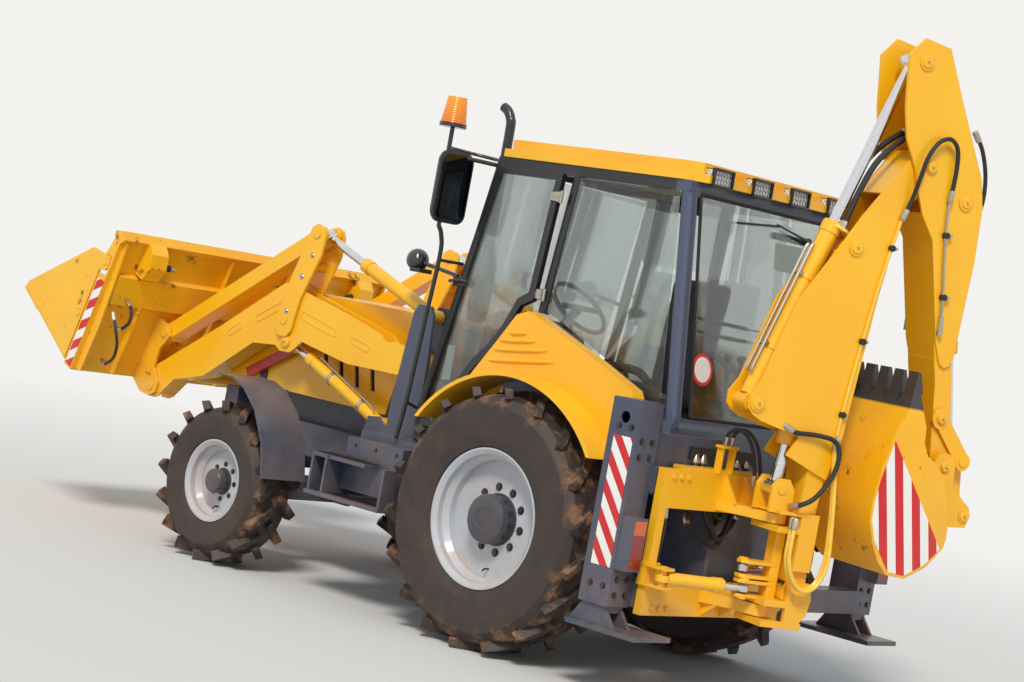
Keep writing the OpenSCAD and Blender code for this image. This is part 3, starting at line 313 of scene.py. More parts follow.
edge_group, given, out = new_group(
    "edges", [("Vector", VECTOR), ("Radius", FLOAT), ("Wear", FLOAT)],
    [("Mask", FLOAT), ("Normal", VECTOR)])
soft = node(edge_group, "ShaderNodeBevel", {"Radius": given["Radius"]}, samples=4)
true = node(edge_group, "ShaderNodeNewGeometry").outputs["Normal"]
same = node(edge_group, "ShaderNodeVectorMath", {0: soft.outputs[0], 1: true}, operation="DOT_PRODUCT")
bent = spread(edge_group, same.outputs["Value"], 0.995, 0.86)
chips = spread(edge_group, noise(edge_group, given["Vector"], 34.0, 4.0, 0.75), 0.50, 0.62)
chipped = times(edge_group, bent, chips)
mask = times(edge_group, chipped, given["Wear"], clamp=True)
edge_group.links.new(mask, out["Mask"])
edge_group.links.new(soft.outputs[0], out["Normal"])


def use_group(tree, group, inputs):
    return node(tree, "ShaderNodeGroup", inputs, node_tree=group).outputs


# %% [markdown]
# Machine paint is a thick, even enamel with a faint orange peel and a thin gloss coat. One
# function makes every painted finish: it takes the colour, how dusty the place is, how worn
# the edges are, and what shows where the paint is gone.

# %% Paints
DUST = rgb(186, 146, 104)
RUST = rgb(96, 52, 30)
BARE = rgb(120, 118, 116)


def paint(name, colour, shade, rough=0.34, dusty=0.5, worn=0.4, under=BARE, coat=0.35, top=1.6, scuffed=0.0):
    material, tree = new_material(name)
    at = object_at(tree)
    dust = use_group(tree, dust_group, {"Vector": at, "Amount": dusty, "Top": top})["Mask"]
    edges = use_group(tree, edge_group, {"Vector": at, "Wear": worn, "Radius": 0.004})
    base = blend_colour(tree, spread(tree, noise(tree, at, 1.7, 3.0), 0.35, 0.7), colour, shade)
    bare = edges["Mask"]
    if scuffed:
        rubs = spread(tree, noise(tree, at, 7.0, 8.0, 0.72), 0.60, 0.66, 0.0, scuffed)
        bare = maths(tree, "MAXIMUM", bare, rubs)
    base = blend_colour(tree, dust, blend_colour(tree, bare, base, under), DUST)
    flat = maths(tree, "MAXIMUM", bare, dust)
    gloss = times(tree, maths(tree, "SUBTRACT", 1.0, flat), coat, clamp=True)
    surface(tree, {"Base Color": base, "Roughness": spread(tree, flat, 0.0, 1.0, rough, 0.86),
                   "Coat Weight": gloss, "Coat Roughness": 0.12,
                   "Normal": bumped(tree, noise(tree, at, 260.0, 1.0), 0.05, 0.001, edges["Normal"])})
    return material


YELLOW = rgb(252, 190, 22)
YELLOW_SHADE = rgb(248, 178, 12)
SLATE = rgb(70, 78, 98)
SLATE_SHADE = rgb(58, 65, 84)
yellow_paint = paint("yellow_paint", YELLOW, YELLOW_SHADE, dusty=0.45, worn=0.35, under=RUST, top=1.3)
bucket_paint = paint("bucket_paint", YELLOW, YELLOW_SHADE, dusty=0.62, worn=0.95, under=RUST,
                     scuffed=0.85, top=1.9)
slate_paint = paint("slate_paint", SLATE, SLATE_SHADE, rough=0.42, dusty=0.45, worn=0.4, top=1.5)
black_paint = paint("black_paint", rgb(30, 31, 35), rgb(24, 25, 28), rough=0.38, dusty=0.25,
                    worn=0.2, top=1.4)
rim_paint = paint("rim_paint", rgb(190, 196, 204), rgb(176, 182, 191), rough=0.42, dusty=0.68,
                  worn=0.3, top=1.5)
red_paint = paint("red_paint", rgb(190, 38, 34), rgb(176, 30, 28), dusty=0.25, worn=0.4)
hub_paint = paint("hub_paint", rgb(58, 62, 74), rgb(50, 53, 64), rough=0.42, dusty=0.35, worn=0.3, top=1.4)
print("paints made")

# %% [markdown]
# The other finishes: chromed rods, zinc fittings, worn steel teeth, rubber, moulded plastic, seat
# cloth, tinted glass, lamp lenses and mirror. Each has one small pattern of its own at the real
# scale, since no real surface is a single flat tone.

# %% Metals, plastics and rubber
def plain(name, colour, rough, other, metallic, scale, bump, **sockets):
    material, tree = new_material(name)
    grain = noise(tree, object_at(tree), scale, 4.0, 0.65)
    value = spread(tree, grain, 0.35, 0.68)
    base = blend_colour(tree, times(tree, value, 0.6), colour, other)
    roughness = spread(tree, value, 0.0, 1.0, rough * 0.8, min(1.0, rough * 1.25))
    surface(tree, {"Base Color": base, "Metallic": metallic, "Roughness": roughness,
                   "Normal": bumped(tree, grain, bump, 0.002), **sockets})
    return material


chrome = plain("chrome", rgb(226, 228, 232), 0.13, rgb(200, 202, 206), 1.0, 60.0, 0.02)
zinc = plain("zinc", rgb(196, 190, 176), 0.34, rgb(150, 142, 128), 1.0, 120.0, 0.1)
steel = plain("steel", rgb(92, 84, 78), 0.48, rgb(60, 44, 34), 0.75, 26.0, 0.5)
hose_rubber = plain("hose_rubber", rgb(26, 26, 28), 0.5, rgb(44, 42, 40), 0.0, 90.0, 0.15)
pipe_paint = plain("pipe_paint", rgb(246, 204, 84), 0.35, rgb(226, 176, 60), 0.0, 30.0, 0.05)
seal_rubber = plain("seal_rubber", rgb(20, 20, 22), 0.62, rgb(36, 35, 34), 0.0, 120.0, 0.2)
trim_plastic = plain("trim_plastic", rgb(96, 104, 116), 0.55, rgb(84, 91, 102), 0.0, 420.0, 0.25)
dark_plastic = plain("dark_plastic", rgb(28, 29, 32), 0.5, rgb(38, 39, 42), 0.0, 420.0, 0.25)
blank_white = plain("blank_white", rgb(232, 233, 232), 0.35, rgb(214, 214, 210), 0.0, 25.0, 0.02)
blank_pale = plain("blank_pale", rgb(176, 196, 190), 0.4, rgb(160, 182, 176), 0.0, 25.0, 0.02)
sign_red = plain("sign_red", rgb(206, 34, 36), 0.35, rgb(190, 28, 30), 0.0, 25.0, 0.02)
mirror_glass = plain("mirror_glass", rgb(58, 64, 72), 0.06, rgb(50, 56, 63), 1.0, 3.0, 0.0)
amber_lens = plain("amber_lens", rgb(250, 140, 16), 0.12, rgb(240, 120, 8), 0.0, 8.0, 0.02,
                   **{"Transmission Weight": 0.35})
red_lens = plain("red_lens", rgb(150, 14, 14), 0.14, rgb(128, 10, 10), 0.0, 8.0, 0.02, **{"Coat Weight": 1.0})


def window_pane(tint, alpha):
    """Tinted pane: light passes, and dust makes it a little rough towards the bottom."""
    material, tree = new_material("window_glass")
    film = use_group(tree, dust_group, {"Vector": object_at(tree), "Amount": 0.35, "Top": 2.6})["Mask"]
    surface(tree, {"Base Color": blend_colour(tree, film, tint, rgb(150, 150, 140)),
                   "Roughness": spread(tree, film, 0.0, 1.0, 0.0, 0.35), "Transmission Weight": 1.0,
                   "IOR": 1.45, "Alpha": spread(tree, film, 0.0, 1.0, alpha, 0.9)})
    return material


window_glass = window_pane(rgb(184, 196, 192), 0.62)


def seat_cloth():
    """Woven cloth: two wave bands crossing at the pitch of the yarns."""
    material, tree = new_material("seat_cloth")
    at = object_at(tree)
    weft, warp = (waves(tree, at, 160.0, way, 0.6) for way in "YX")
    yarn = times(tree, weft, warp)
    surface(tree, {"Base Color": blend_colour(tree, yarn, rgb(34, 36, 40), rgb(66, 69, 76)),
                   "Roughness": 0.85, "Normal": bumped(tree, yarn, 0.4, 0.001), "Sheen Weight": 0.25})
    return material


seat_fabric = seat_cloth()

# %% [markdown]
# A tyre is black rubber with fine rings moulded in its side wall. Earth packs between the lugs
# and dries on the tread. The distance from the wheel's axis, worked out from the Object
# coordinates, tells tread from side wall, so the same function serves both sizes of tyre.

# %% Tyre rubber
WALL_RINGS = 260.0


def tyre_rubber(name, axis_at, radius, rim):
    material, tree = new_material(name)
    at = object_at(tree)
    reach = reach_from_axis(tree, at, axis_at)
    tread = spread(tree, reach, radius * 0.80, radius * 0.93)
    mud = noise(tree, at, 9.0, 9.0, 0.68)
    crumbs = noise(tree, at, 60.0, 4.0, 0.7)
    packed = spread(tree, mud, 0.49, 0.60)
    on_tread = times(tree, packed, spread(tree, tread, 0.0, 1.0, 0.03, 0.82))
    film = spread(tree, mud, 0.3, 0.8, 0.03, 0.20)
    mask = maths(tree, "MAXIMUM", on_tread, film)
    earth = blend_colour(tree, crumbs, rgb(104, 72, 52), rgb(182, 136, 100))
    base = blend_colour(tree, mask, rgb(34, 34, 36), earth)
    rings = maths(tree, "SINE", times(tree, reach, WALL_RINGS))
    wall = times(tree, rings, spread(tree, reach, rim, radius * 0.82, 0.16, 0.0))
    lumps = times(tree, times(tree, crumbs, mask), 1.6)
    soft = node(tree, "ShaderNodeBevel", {"Radius": 0.008}, samples=4)
    surface(tree, {"Base Color": base, "Roughness": spread(tree, mask, 0.0, 0.5, 0.52, 0.92),
                   "Normal": bumped(tree, maths(tree, "ADD", wall, lumps), 0.55, 0.006, soft.outputs[0])})
    return material


def axis_of(name):
    low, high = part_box(name)
    return (low + high) / 2


REAR_RIM, FRONT_RIM = 0.378, 0.248
rear_radius = (tyre_high.z - tyre_low.z) / 2
front_low, front_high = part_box("front_tyre_left")
front_radius = (front_high.z - front_low.z) / 2
rear_rubber = tyre_rubber("rear_rubber", axis_of("rear_tyre_left"), rear_radius, REAR_RIM)
front_rubber = tyre_rubber("front_rubber", axis_of("front_tyre_left"), front_radius, FRONT_RIM)
print("tyres", round(rear_radius, 3), round(front_radius, 3))

# %% [markdown]
# The work lamps have a clear lens and the tail lamps a red one with an amber half, and the CAD
# draws them as one node. A pattern on height picks the lens: below the waist it is a tail lamp.
# Ribs moulded in the lens are a bump across it.

# %% Lamp lenses
def lens_material():
    material, tree = new_material("lamp_lens")
    at = object_at(tree)
    x, z = (part_of(tree, at, axis) for axis in "XZ")
    tail = spread(tree, z, 1.31, 1.30)
    amber = spread(tree, z, 0.838, 0.842)
    ball = times(tree, spread(tree, x, -0.60, -0.59), spread(tree, z, 1.6, 1.61))
    low_lens = blend_colour(tree, amber, rgb(140, 12, 14), rgb(214, 92, 14))
    facets = node(tree, "ShaderNodeTexChecker", {"Vector": at, "Scale": 70.0})
    clear = blend_colour(tree, facets.outputs["Fac"], rgb(236, 238, 240), rgb(176, 180, 186))
    base = blend_colour(tree, tail, clear, low_lens)
    base = blend_colour(tree, ball, base, rgb(34, 36, 42))
    surface(tree, {"Base Color": base, "Roughness": 0.12, "Coat Weight": 0.8,
                   "Normal": bumped(tree, waves(tree, at, 26.0), 0.35, 0.003)})
    return material


lamp_lens = lens_material()

# %% [markdown]
# Warning stripes are red and white bands across a plate. The plate's own UV map holds metres
# along and across it, so the bands keep one real width on every plate, whichever way it stands.

# %% Striped plate finish
def stripe_material():
    material, tree = new_material("stripes")
    uv = node(tree, "ShaderNodeUVMap", uv_map="metres").outputs["UV"]
    red = maths(tree, "GREATER_THAN", maths(tree, "FRACT", part_of(tree, uv, "X")), 0.5)
    dust = use_group(tree, dust_group, {"Vector": object_at(tree), "Amount": 0.3, "Top": 1.5})["Mask"]
    base = blend_colour(tree, red, rgb(238, 236, 232), rgb(206, 32, 38))
    surface(tree, {"Base Color": blend_colour(tree, dust, base, DUST),
                   "Roughness": spread(tree, dust, 0.0, 1.0, 0.3, 0.8)})
    return material


stripes = stripe_material()

# %% [markdown]
# Each CAD node now gets its finish. The nodes' meshes are never touched. A small Geometry Nodes
# modifier joins their loose triangles and smooths the round faces, and keeps every edge sharper
# than thirty degrees, so that a pin looks round and a plate keeps its corners.

# %% Smooth shading by angle
def shape_tree(name, *inputs):
    """Geometry Nodes tree with inputs given as (name, kind), beside the geometry."""
    group = bpy.data.node_groups.new(name, "GeometryNodeTree")
    for label, kind in (("Geometry", "Geometry"),) + inputs:
        group.interface.new_socket(label, in_out="INPUT", socket_type="NodeSocket" + kind)
    group.interface.new_socket("Geometry", in_out="OUTPUT", socket_type="NodeSocketGeometry")
    return group, node(group, "NodeGroupInput"), node(group, "NodeGroupOutput")


def smooth_tree():
    group, given, out = shape_tree("smooth_by_angle")
    merged = node(group, "GeometryNodeMergeByDistance", {"Geometry": given.outputs[0], "Distance": 0.00005})
    between = node(group, "GeometryNodeInputMeshEdgeAngle").outputs["Unsigned Angle"]
    sharp = node(group, "FunctionNodeCompare", {0: between, 1: math.radians(30)},
                 data_type="FLOAT", operation="LESS_EQUAL").outputs[0]
    faces = node(group, "GeometryNodeSetShadeSmooth", {"Geometry": merged.outputs[0], "Shade Smooth": True},
                 domain="FACE")
    edges = node(group, "GeometryNodeSetShadeSmooth", {"Geometry": faces.outputs[0], "Shade Smooth": sharp},
                 domain="EDGE")
    group.links.new(edges.outputs[0], out.inputs[0])
    return group


smooth_group = smooth_tree()


def smooth(thing):
    made = thing.modifiers.new("smooth", "NODES")
    made.node_group = smooth_group


# %% Finishes of the CAD nodes
FINISHES = {
    yellow_paint: "cab_roof rear_fenders bonnet loader_arms tilt_levers tilt_links lift_barrels tilt_barrels "
                  "carriage swing_post swing_barrel_lower swing_barrel_upper boom boom_barrel dipper "
                  "dipper_barrel bucket_barrel rocker hoe_link",
    bucket_paint: "loader_bucket clam_jaw",
    slate_paint: "main_frame rear_frame front_axle rear_axle engine side_tanks knuckle_left knuckle_right "
                 "stabiliser_left stabiliser_right",
    black_paint: "door_left door_right exhaust mirrors",
    rim_paint: "rear_rim_left rear_rim_right front_rim_left front_rim_right",
    rear_rubber: "rear_tyre_left rear_tyre_right",
    front_rubber: "front_tyre_left front_tyre_right",
    window_glass: "cab_glass door_glass_left door_glass_right",
    chrome: "lift_rods tilt_rods swing_rod_lower swing_rod_upper boom_rod dipper_rod bucket_rod",
    red_paint: "safety_strut",
    trim_plastic: "cab_console",
    amber_lens: "beacon",
    lamp_lens: "lamps",
    dark_plastic: "seat",
}


def two_tone(name, first, second, axis, start, end):
    """The first paint, whose colour turns into another beyond a plane."""
    return recoloured(name, first, lambda tree, at, own: blend_colour(
        tree, spread(tree, part_of(tree, at, axis), start, end), own, second))


cab_paint = two_tone("cab_paint", black_paint, rgb(66, 76, 100), "X", rear_axle - 0.600, rear_axle - 0.602)
hoe_paint = two_tone("hoe_paint", bucket_paint, rgb(62, 56, 52), "Z", 1.688, 1.700)
FINISHES[cab_paint] = "cab_frame"
FINISHES[hoe_paint] = "hoe_bucket"
for finish, names in FINISHES.items():
    for name in names.split():
        part = nodes[name]
        part.data.materials.clear()
        part.data.materials.append(finish)
        smooth(part)
unpainted = sorted(set(nodes) - {n for names in FINISHES.values() for n in names.split()})
print("nodes without a finish:", unpainted)

# %% [markdown]
# The small pieces are collected by what they ride on. A Piece gathers prisms, tubes and turned
# shapes into one mesh with a few finishes, closes it, and lets it ride on one CAD body; a hose
# across a joint is instead fixed where it lies.

# %% A collector for small shapes
def skin(rings, sides):
    """Faces between rings of points, with a cap at each end."""
    faces = []
    for first in range(0, (rings - 1) * sides, sides):
        for a in range(sides):
            b = (a + 1) % sides
            faces.append((first + a, first + b, first + sides + b, first + sides + a))
    return faces + [tuple(range(sides)), tuple(range((rings - 1) * sides, rings * sides))]


def circle(sides):
    return [2 * math.pi * k / sides for k in range(sides)]


def smooth_path(points, steps=6):
    """Catmull-Rom curve through the points."""
    points = [Vector(p) for p in points]
    if len(points) < 3:
        return points
    ends = [2 * points[0] - points[1]] + points + [2 * points[-1] - points[-2]]
    line = []
    for a, b, c, d in zip(ends, ends[1:], ends[2:], ends[3:]):
        for i in range(steps):
            t = i / steps
            line.append(0.5 * (2 * b + (c - a) * t + (2 * a - 5 * b + 4 * c - d) * t ** 2
                               + (3 * b - a - 3 * c + d) * t ** 3))
    return line + [points[-1]]


# share of the hose's radius, share of the ferrule's length
FERRULE = [(1.35, 0.0), (1.5, 0.15), (1.5, 0.85), (1.3, 1.0)]


class Piece:
    def __init__(self, name, body, slot, *finishes):
        self.name, self.body, self.slot, self.finishes = name, body, slot, finishes
        self.points, self.faces, self.shades, self.lengths = [], [], [], []

    def add(self, points, faces, finish=0):
        first = len(self.points)
        self.points += [Vector(p) for p in points]
        self.faces += [[first + i for i in face] for face in faces]
        self.shades += [finish] * len(faces)

    def prism(self, outline, to_world, near, far, finish=0):
        n = len(outline)
        ring = [to_world(u, near, v) for u, v in outline] + [to_world(u, far, v) for u, v in outline]
        sides = [(i, (i + 1) % n, n + (i + 1) % n, n + i) for i in range(n)]
        self.add(ring, sides + [tuple(range(n)), tuple(range(2 * n - 1, n - 1, -1))], finish)

    def block(self, low, high, finish=0):
        outline = [(low[0], low[2]), (high[0], low[2]), (high[0], high[2]), (low[0], high[2])]
        self.prism(outline, place, low[1], high[1], finish)

    def sweep(self, line, radii, sides=10, finish=0):
        """Round tube along a line, with one radius a point, closed at both ends."""
        line = [Vector(p) for p in line]
        tangent = (line[1] - line[0]).normalized()
        across = tangent.orthogonal().normalized()
        points = []
        for i, at in enumerate(line):
            ahead = (line[min(i + 1, len(line) - 1)] - line[max(i - 1, 0)]).normalized()
            if ahead.length:
                across = (across - ahead * across.dot(ahead)).normalized()
                tangent = ahead
            other = tangent.cross(across)
            radius = radii[i] if hasattr(radii, "__len__") else radii
            points += [at + (across * math.cos(a) + other * math.sin(a)) * radius
                       for a in circle(sides)]
        self.add(points, skin(len(line), sides), finish)

    def band(self, inner, outer, half, centre, axis, finish=0):
        """Ring of a square section, turned about an axis."""
        self.turned([(inner, -half), (outer, -half), (outer, half), (inner, half), (inner, -half)],
                    centre, axis, finish, 28)

    def tube(self, points, radius, finish=0, sides=10, steps=6):
        self.sweep(smooth_path(points, steps), radius, sides, finish)

    def turned(self, profile, centre, axis, finish=0, sides=24):
        """Shape turned about an axis, from (radius, height) pairs."""
        axis = Vector(axis).normalized()
        line = [Vector(centre) + axis * h for _, h in profile]
        a = axis.orthogonal().normalized()
        b = axis.cross(a)
        points = [at + (a * math.cos(t) + b * math.sin(t)) * max(r, 0.0004)
                  for at, (r, _) in zip(line, profile) for t in circle(sides)]
        self.add(points, skin(len(profile), sides), finish)

    def hose(self, points, radius, rubber=0, fitting=1, ends=(0.06, 0.06)):
        """Rubber hose with a crimped ferrule at each end."""
        line = smooth_path(points, 7)
        self.lengths.append(round(sum((b - a).length for a, b in zip(line, line[1:])), 2))
        self.sweep(line, radius, 10, rubber)
        for index, (at, nxt) in enumerate(((line[0], line[2]), (line[-1], line[-3]))):
            if ends[index]:
                along = (nxt - at).normalized() * ends[index]
                self.sweep([at + along * (h - 0.15) for _, h in FERRULE],
                           [radius * grow for grow, _ in FERRULE], 10, fitting)

    def done(self, uv=None, blend=None):
        mesh = bpy.data.meshes.new(self.name)
        mesh.from_pydata(self.points, [], self.faces)
        for finish in self.finishes:
            mesh.materials.append(finish)
        mesh.polygons.foreach_set("material_index", self.shades)
        shape = bmesh.new()
        shape.from_mesh(mesh)
        bmesh.ops.recalc_face_normals(shape, faces=shape.faces)
        shape.to_mesh(mesh)
        shape.free()
        if uv:
            layer = mesh.uv_layers.new(name="metres")
            for loop in mesh.loops:
                layer.data[loop.index].uv = uv(mesh.vertices[loop.vertex_index].co)
        thing = new_object(self.name, mesh)
        smooth(thing)
        if blend:
            settle(thing)
            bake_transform(thing)
        else:
            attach(thing, self.body)
        print(self.name, len(mesh.polygons), "faces on", self.body)
        if self.lengths:
            print("  hoses in m:", self.lengths)
        return thing


def settle(thing):
    """Puts what the modifiers make into the mesh itself."""
    view = bpy.context.evaluated_depsgraph_get()
    mesh = bpy.data.meshes.new_from_object(thing.evaluated_get(view))
    thing.modifiers.clear()
    thing.data = mesh


SIDES = (1, -1)
UP = (0, 0, 1)

# %% [markdown]
# Bolts repeat all over the machine, so Geometry Nodes make them. Each bolt is one point of a
# small mesh, with the way it faces and its size as attributes. The tree puts a hexagon head on a
# washer at each point, turns it to face outwards, and realizes the instances into plain mesh.

# %% Bolt tree
def set_out(group, given, out, placed):
    """Realizes the placed instances in the tree's finish."""
    real = node(group, "GeometryNodeRealizeInstances", {"Geometry": placed.outputs[0]})
    shaded = node(group, "GeometryNodeSetMaterial", {"Geometry": real.outputs[0],
                                                     "Material": given.outputs["Finish"]})
    group.links.new(shaded.outputs[0], out.inputs[0])
    return group


def run_tree(thing, group, **values):
    """Runs a tree on the thing, with its inputs by name, and keeps what it makes."""
    made = thing.modifiers.new(group.name, "NODES")
    made.node_group = group
    for socket in group.interface.items_tree:
        if socket.in_out == "INPUT" and socket.name in values:
            made[socket.identifier] = values[socket.name]
    settle(thing)


# height of the head, as a share of half its width
BOLT_HEAD = 0.7


def bolt_tree():
    group, given, out = shape_tree("bolts", ("Washer", "Float"), ("Finish", "Material"))
    head = node(group, "GeometryNodeMeshCylinder", {"Vertices": 6, "Radius": 1.0, "Depth": BOLT_HEAD})
    head = node(group, "GeometryNodeTransform", {"Geometry": head.outputs["Mesh"],
                                                 "Translation": (0, 0, BOLT_HEAD / 2)})
    washer = node(group, "GeometryNodeMeshCylinder", {"Vertices": 14, "Depth": 0.3,
                                                      "Radius": given.outputs["Washer"]})
    both = node(group, "GeometryNodeJoinGeometry")
    group.links.new(head.outputs[0], both.inputs[0])
    group.links.new(washer.outputs["Mesh"], both.inputs[0])
    facing = node(group, "GeometryNodeInputNamedAttribute", {"Name": "facing"}, data_type="FLOAT_VECTOR")
    size = node(group, "GeometryNodeInputNamedAttribute", {"Name": "size"}, data_type="FLOAT")
    turned = node(group, "FunctionNodeAlignRotationToVector", {"Vector": facing.outputs[0]}, axis="Z")
    placed = node(group, "GeometryNodeInstanceOnPoints", {
        "Points": given.outputs["Geometry"], "Instance": both.outputs[0],
        "Rotation": turned.outputs[0], "Scale": size.outputs[0]})
    return set_out(group, given, out, placed)


bolts_group = bolt_tree()


def bolts(name, body, finish, places, washer=1.35):
    """places: (point, way it faces, half the head's width) of each bolt."""
    mesh = bpy.data.meshes.new(name)
    mesh.from_pydata([p for p, _, _ in places], [], [])
    facing = mesh.attributes.new("facing", "FLOAT_VECTOR", "POINT")
    facing.data.foreach_set("vector", [c for _, way, _ in places for c in way])
    size = mesh.attributes.new("size", "FLOAT", "POINT")
    size.data.foreach_set("value", [r for _, _, r in places])
    thing = new_object(name, mesh)
    run_tree(thing, bolts_group, Washer=washer, Finish=finish)
    thing.data.name = name
    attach(thing, body)
    print(name, len(places), "bolts on", body)


def ring(centre, axis, radius, count, size):
    axis = Vector(axis).normalized()
    a = axis.orthogonal().normalized()
    b = axis.cross(a)
    return [(centre + (a * math.cos(t) + b * math.sin(t)) * radius, axis, size) for t in circle(count)]


# %% [markdown]
# Each wheel is held by a ring of nuts round its hub, which ends in a smooth domed cap. The rim is
# silver and the hub is dark, and both are one CAD node, so the rim's finish changes tone by its
# distance from the axis.

# %% Wheels
HUBS = [
    # body stem, tyre node stem, hub radius, hub face, disc face, nut ring radius, nuts, nut size
    ("rear_wheel", "rear_tyre", 0.133, 0.152, 0.062, 0.176, 10, 0.017),
    ("front_wheel", "front_tyre", 0.072, 0.106, 0.034, 0.105, 8, 0.012),
]


def rim_finish(name, axis_at, hub):
    def silver_and_dark(tree, at, silver):
        reach = reach_from_axis(tree, at, axis_at)
        dark = blend_colour(tree, spread(tree, reach, 0.0, hub), rgb(58, 62, 72), rgb(44, 47, 56))
        return blend_colour(tree, spread(tree, reach, hub + 0.010, hub + 0.009), silver, dark)

    return recoloured(name, rim_paint, silver_and_dark)


for body, tyre, hub, hub_face, disc_face, ring_radius, count, size in HUBS:
    finish = rim_finish(body + "_rim", axis_of(tyre + "_left"), hub)
    for side, word in zip(SIDES, ("left", "right")):
        middle = axis_of(f"{tyre}_{word}")
        rim = nodes[f"{tyre.replace('tyre', 'rim')}_{word}"]
        rim.data.materials[0] = finish
        face = middle + Vector((0, side * disc_face, 0))
        out_way = (0, side, 0)
        bolts(f"{body}_nuts_{word}", f"{body}_{word}", steel,
              ring(face, out_way, ring_radius, count, size))
        cap_at = middle + Vector((0, side * hub_face, 0))
        cap = Piece(f"{body}_cap_{word}", f"{body}_{word}", "rim", hub_paint, seal_rubber)
        cap.turned([(hub + 0.0015, -0.030), (hub + 0.0015, -0.004), (hub * 0.97, 0.008), (hub * 0.90, 0.014),
                    (hub * 0.45, 0.018), (hub * 0.42, 0.015), (0, 0.016)], cap_at, out_way, 0, 48)
        valve = face + Vector((0.0, 0, -(ring_radius + hub * 0.7)))
        bend = ((0, 0), (0.03, 0), (0.045, -0.012))
        cap.tube([valve + Vector((0, side * y, z)) for y, z in bend], 0.005, 1)
        cap.done()

# %% [markdown]
# Warning plates are thin sheets riveted on: one on each stabiliser box, one down each side of
# the loading bucket, and a pointed one on each side of the digging bucket. The UV map of each
# turns its bands the way the real ones slope.

# %% Striped plates
LEG_FACE, BUCKET_SIDE, HOE_SIDE = 1.1704, 1.1702, 0.2852
SHEET = 0.0018


def banded(pitch, slope_x, slope_z, spot):
    length = math.hypot(slope_x, slope_z)
    return lambda co: ((spot(co)[0] * slope_x + spot(co)[1] * slope_z) / length / pitch, 0.0)


def from_axle(co):
    return (co.x - rear_axle, co.z)


leg_plate = Piece("leg_stripes", "chassis", "slate_paint", stripes)
bucket_plate = Piece("bucket_stripes", "loader_bucket", "yellow_paint", stripes)
for side in SIDES:
    leg_plate.prism([(-1.008, 0.655), (-0.882, 0.655), (-0.882, 1.31), (-1.008, 1.31)], place,
                    side * LEG_FACE, side * (LEG_FACE + SHEET))
    bucket_plate.prism([(3.462, 1.520), (3.530, 1.536), (3.716, 0.972), (3.660, 0.942)], place,
                       side * BUCKET_SIDE, side * (BUCKET_SIDE + SHEET))
leg_plate.done(uv=banded(0.088, 0.80, -0.62, from_axle))
bucket_plate.done(uv=banded(0.105, 0.45, 1.0, from_axle))

hoe_plate = Piece("hoe_stripes", "hoe_bucket", "yellow_paint", stripes)
POINTED = [(0.446, 1.520), (0.398, 1.310), (0.386, 1.195), (0.389, 1.108), (0.425, 1.006), (0.546, 0.852),
           (0.650, 0.845), (0.770, 0.915), (0.850, 1.004)]
for side in SIDES:
    hoe_plate.prism(POINTED, arm, side * HOE_SIDE, side * (HOE_SIDE + SHEET))
arm_across = in_arm((1, 0, 0))
hoe_plate.done(uv=banded(0.104, 0.973, 0.233, lambda co: ((co - arm(0, 0, 0)).dot(arm_across), co.z)))

# %% [markdown]
# The four work lamps under the roof's rear edge sit in black frames behind wire cages. The cage
# is the same bar repeated both ways, so a Geometry Nodes tree makes it: a line of points carries
# upright bars, another carries level ones.

# %% Lamp cages
LAMP_ROW = (-0.520, -0.173, 0.173, 0.520)
LAMP_X, LAMP_Z = -0.752, (2.6553, 2.7333)


def cage_tree():
    group, given, out = shape_tree("cage", ("Width", "Float"), ("Height", "Float"), ("Uprights", "Int"),
                                   ("Levels", "Int"), ("Wire", "Float"), ("Finish", "Material"))
    wire = given.outputs["Wire"]
    joined = node(group, "GeometryNodeJoinGeometry")
    for count, run, way in (("Uprights", "Width", 1), ("Levels", "Height", 2)):
        gaps = maths(group, "SUBTRACT", given.outputs[count], 1.0)
        step = maths(group, "DIVIDE", given.outputs[run], gaps)
        half = times(group, given.outputs[run], -0.5)
        start = node(group, "ShaderNodeCombineXYZ", {way: half})
        offset = node(group, "ShaderNodeCombineXYZ", {way: step})
        line = node(group, "GeometryNodeMeshLine", {
            "Count": given.outputs[count], "Start Location": start.outputs[0], "Offset": offset.outputs[0]})
        reach = given.outputs["Height" if way == 1 else "Width"]
        size = node(group, "ShaderNodeCombineXYZ", {0: wire, way: wire, 3 - way: reach})
        bar = node(group, "GeometryNodeMeshCube", {"Size": size.outputs[0]})
        bars = node(group, "GeometryNodeInstanceOnPoints", {"Points": line.outputs[0],
                                                            "Instance": bar.outputs[0]})
        group.links.new(bars.outputs[0], joined.inputs[0])
    placed = node(group, "GeometryNodeInstanceOnPoints", {"Points": given.outputs["Geometry"],
                                                          "Instance": joined.outputs[0]})
    return set_out(group, given, out, placed)


mesh = bpy.data.meshes.new("lamp_cages")
lamp_middle = sum(LAMP_Z) / 2
mesh.from_pydata([place(LAMP_X - 0.010, y, lamp_middle) for y in LAMP_ROW], [], [])
cages = new_object("lamp_cages", mesh)
run_tree(cages, cage_tree(), Width=0.140, Height=0.074, Uprights=7, Levels=4, Wire=0.0018, Finish=black_paint)
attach(cages, "chassis")

frames = Piece("lamp_frames", "chassis", "black_paint", black_paint)
# bars of one frame: from y, z to y, z
FRAME_BARS = [(-0.075, -0.010, 0.075, 0.0), (-0.075, 0.078, 0.075, 0.088),
              (-0.083, -0.010, -0.075, 0.088), (0.075, -0.010, 0.083, 0.088)]
for y in LAMP_ROW:
    for y0, z0, y1, z1 in FRAME_BARS:
        frames.block((LAMP_X - 0.016, y + y0, LAMP_Z[0] + z0), (LAMP_X + 0.01, y + y1, LAMP_Z[0] + z1))
frames.done()
print("lamp cages", len(cages.data.polygons), "faces")

# %% [markdown]
# The beacon's cap is amber above its black foot and bent stalk. The CAD node holds all three, so
# a band on height changes the tone, the amber is painted lighter towards the top as a painted
# highlight, and moulded flutes show as a bump.

# %% Beacon finish
BEACON_CAP = 0.148


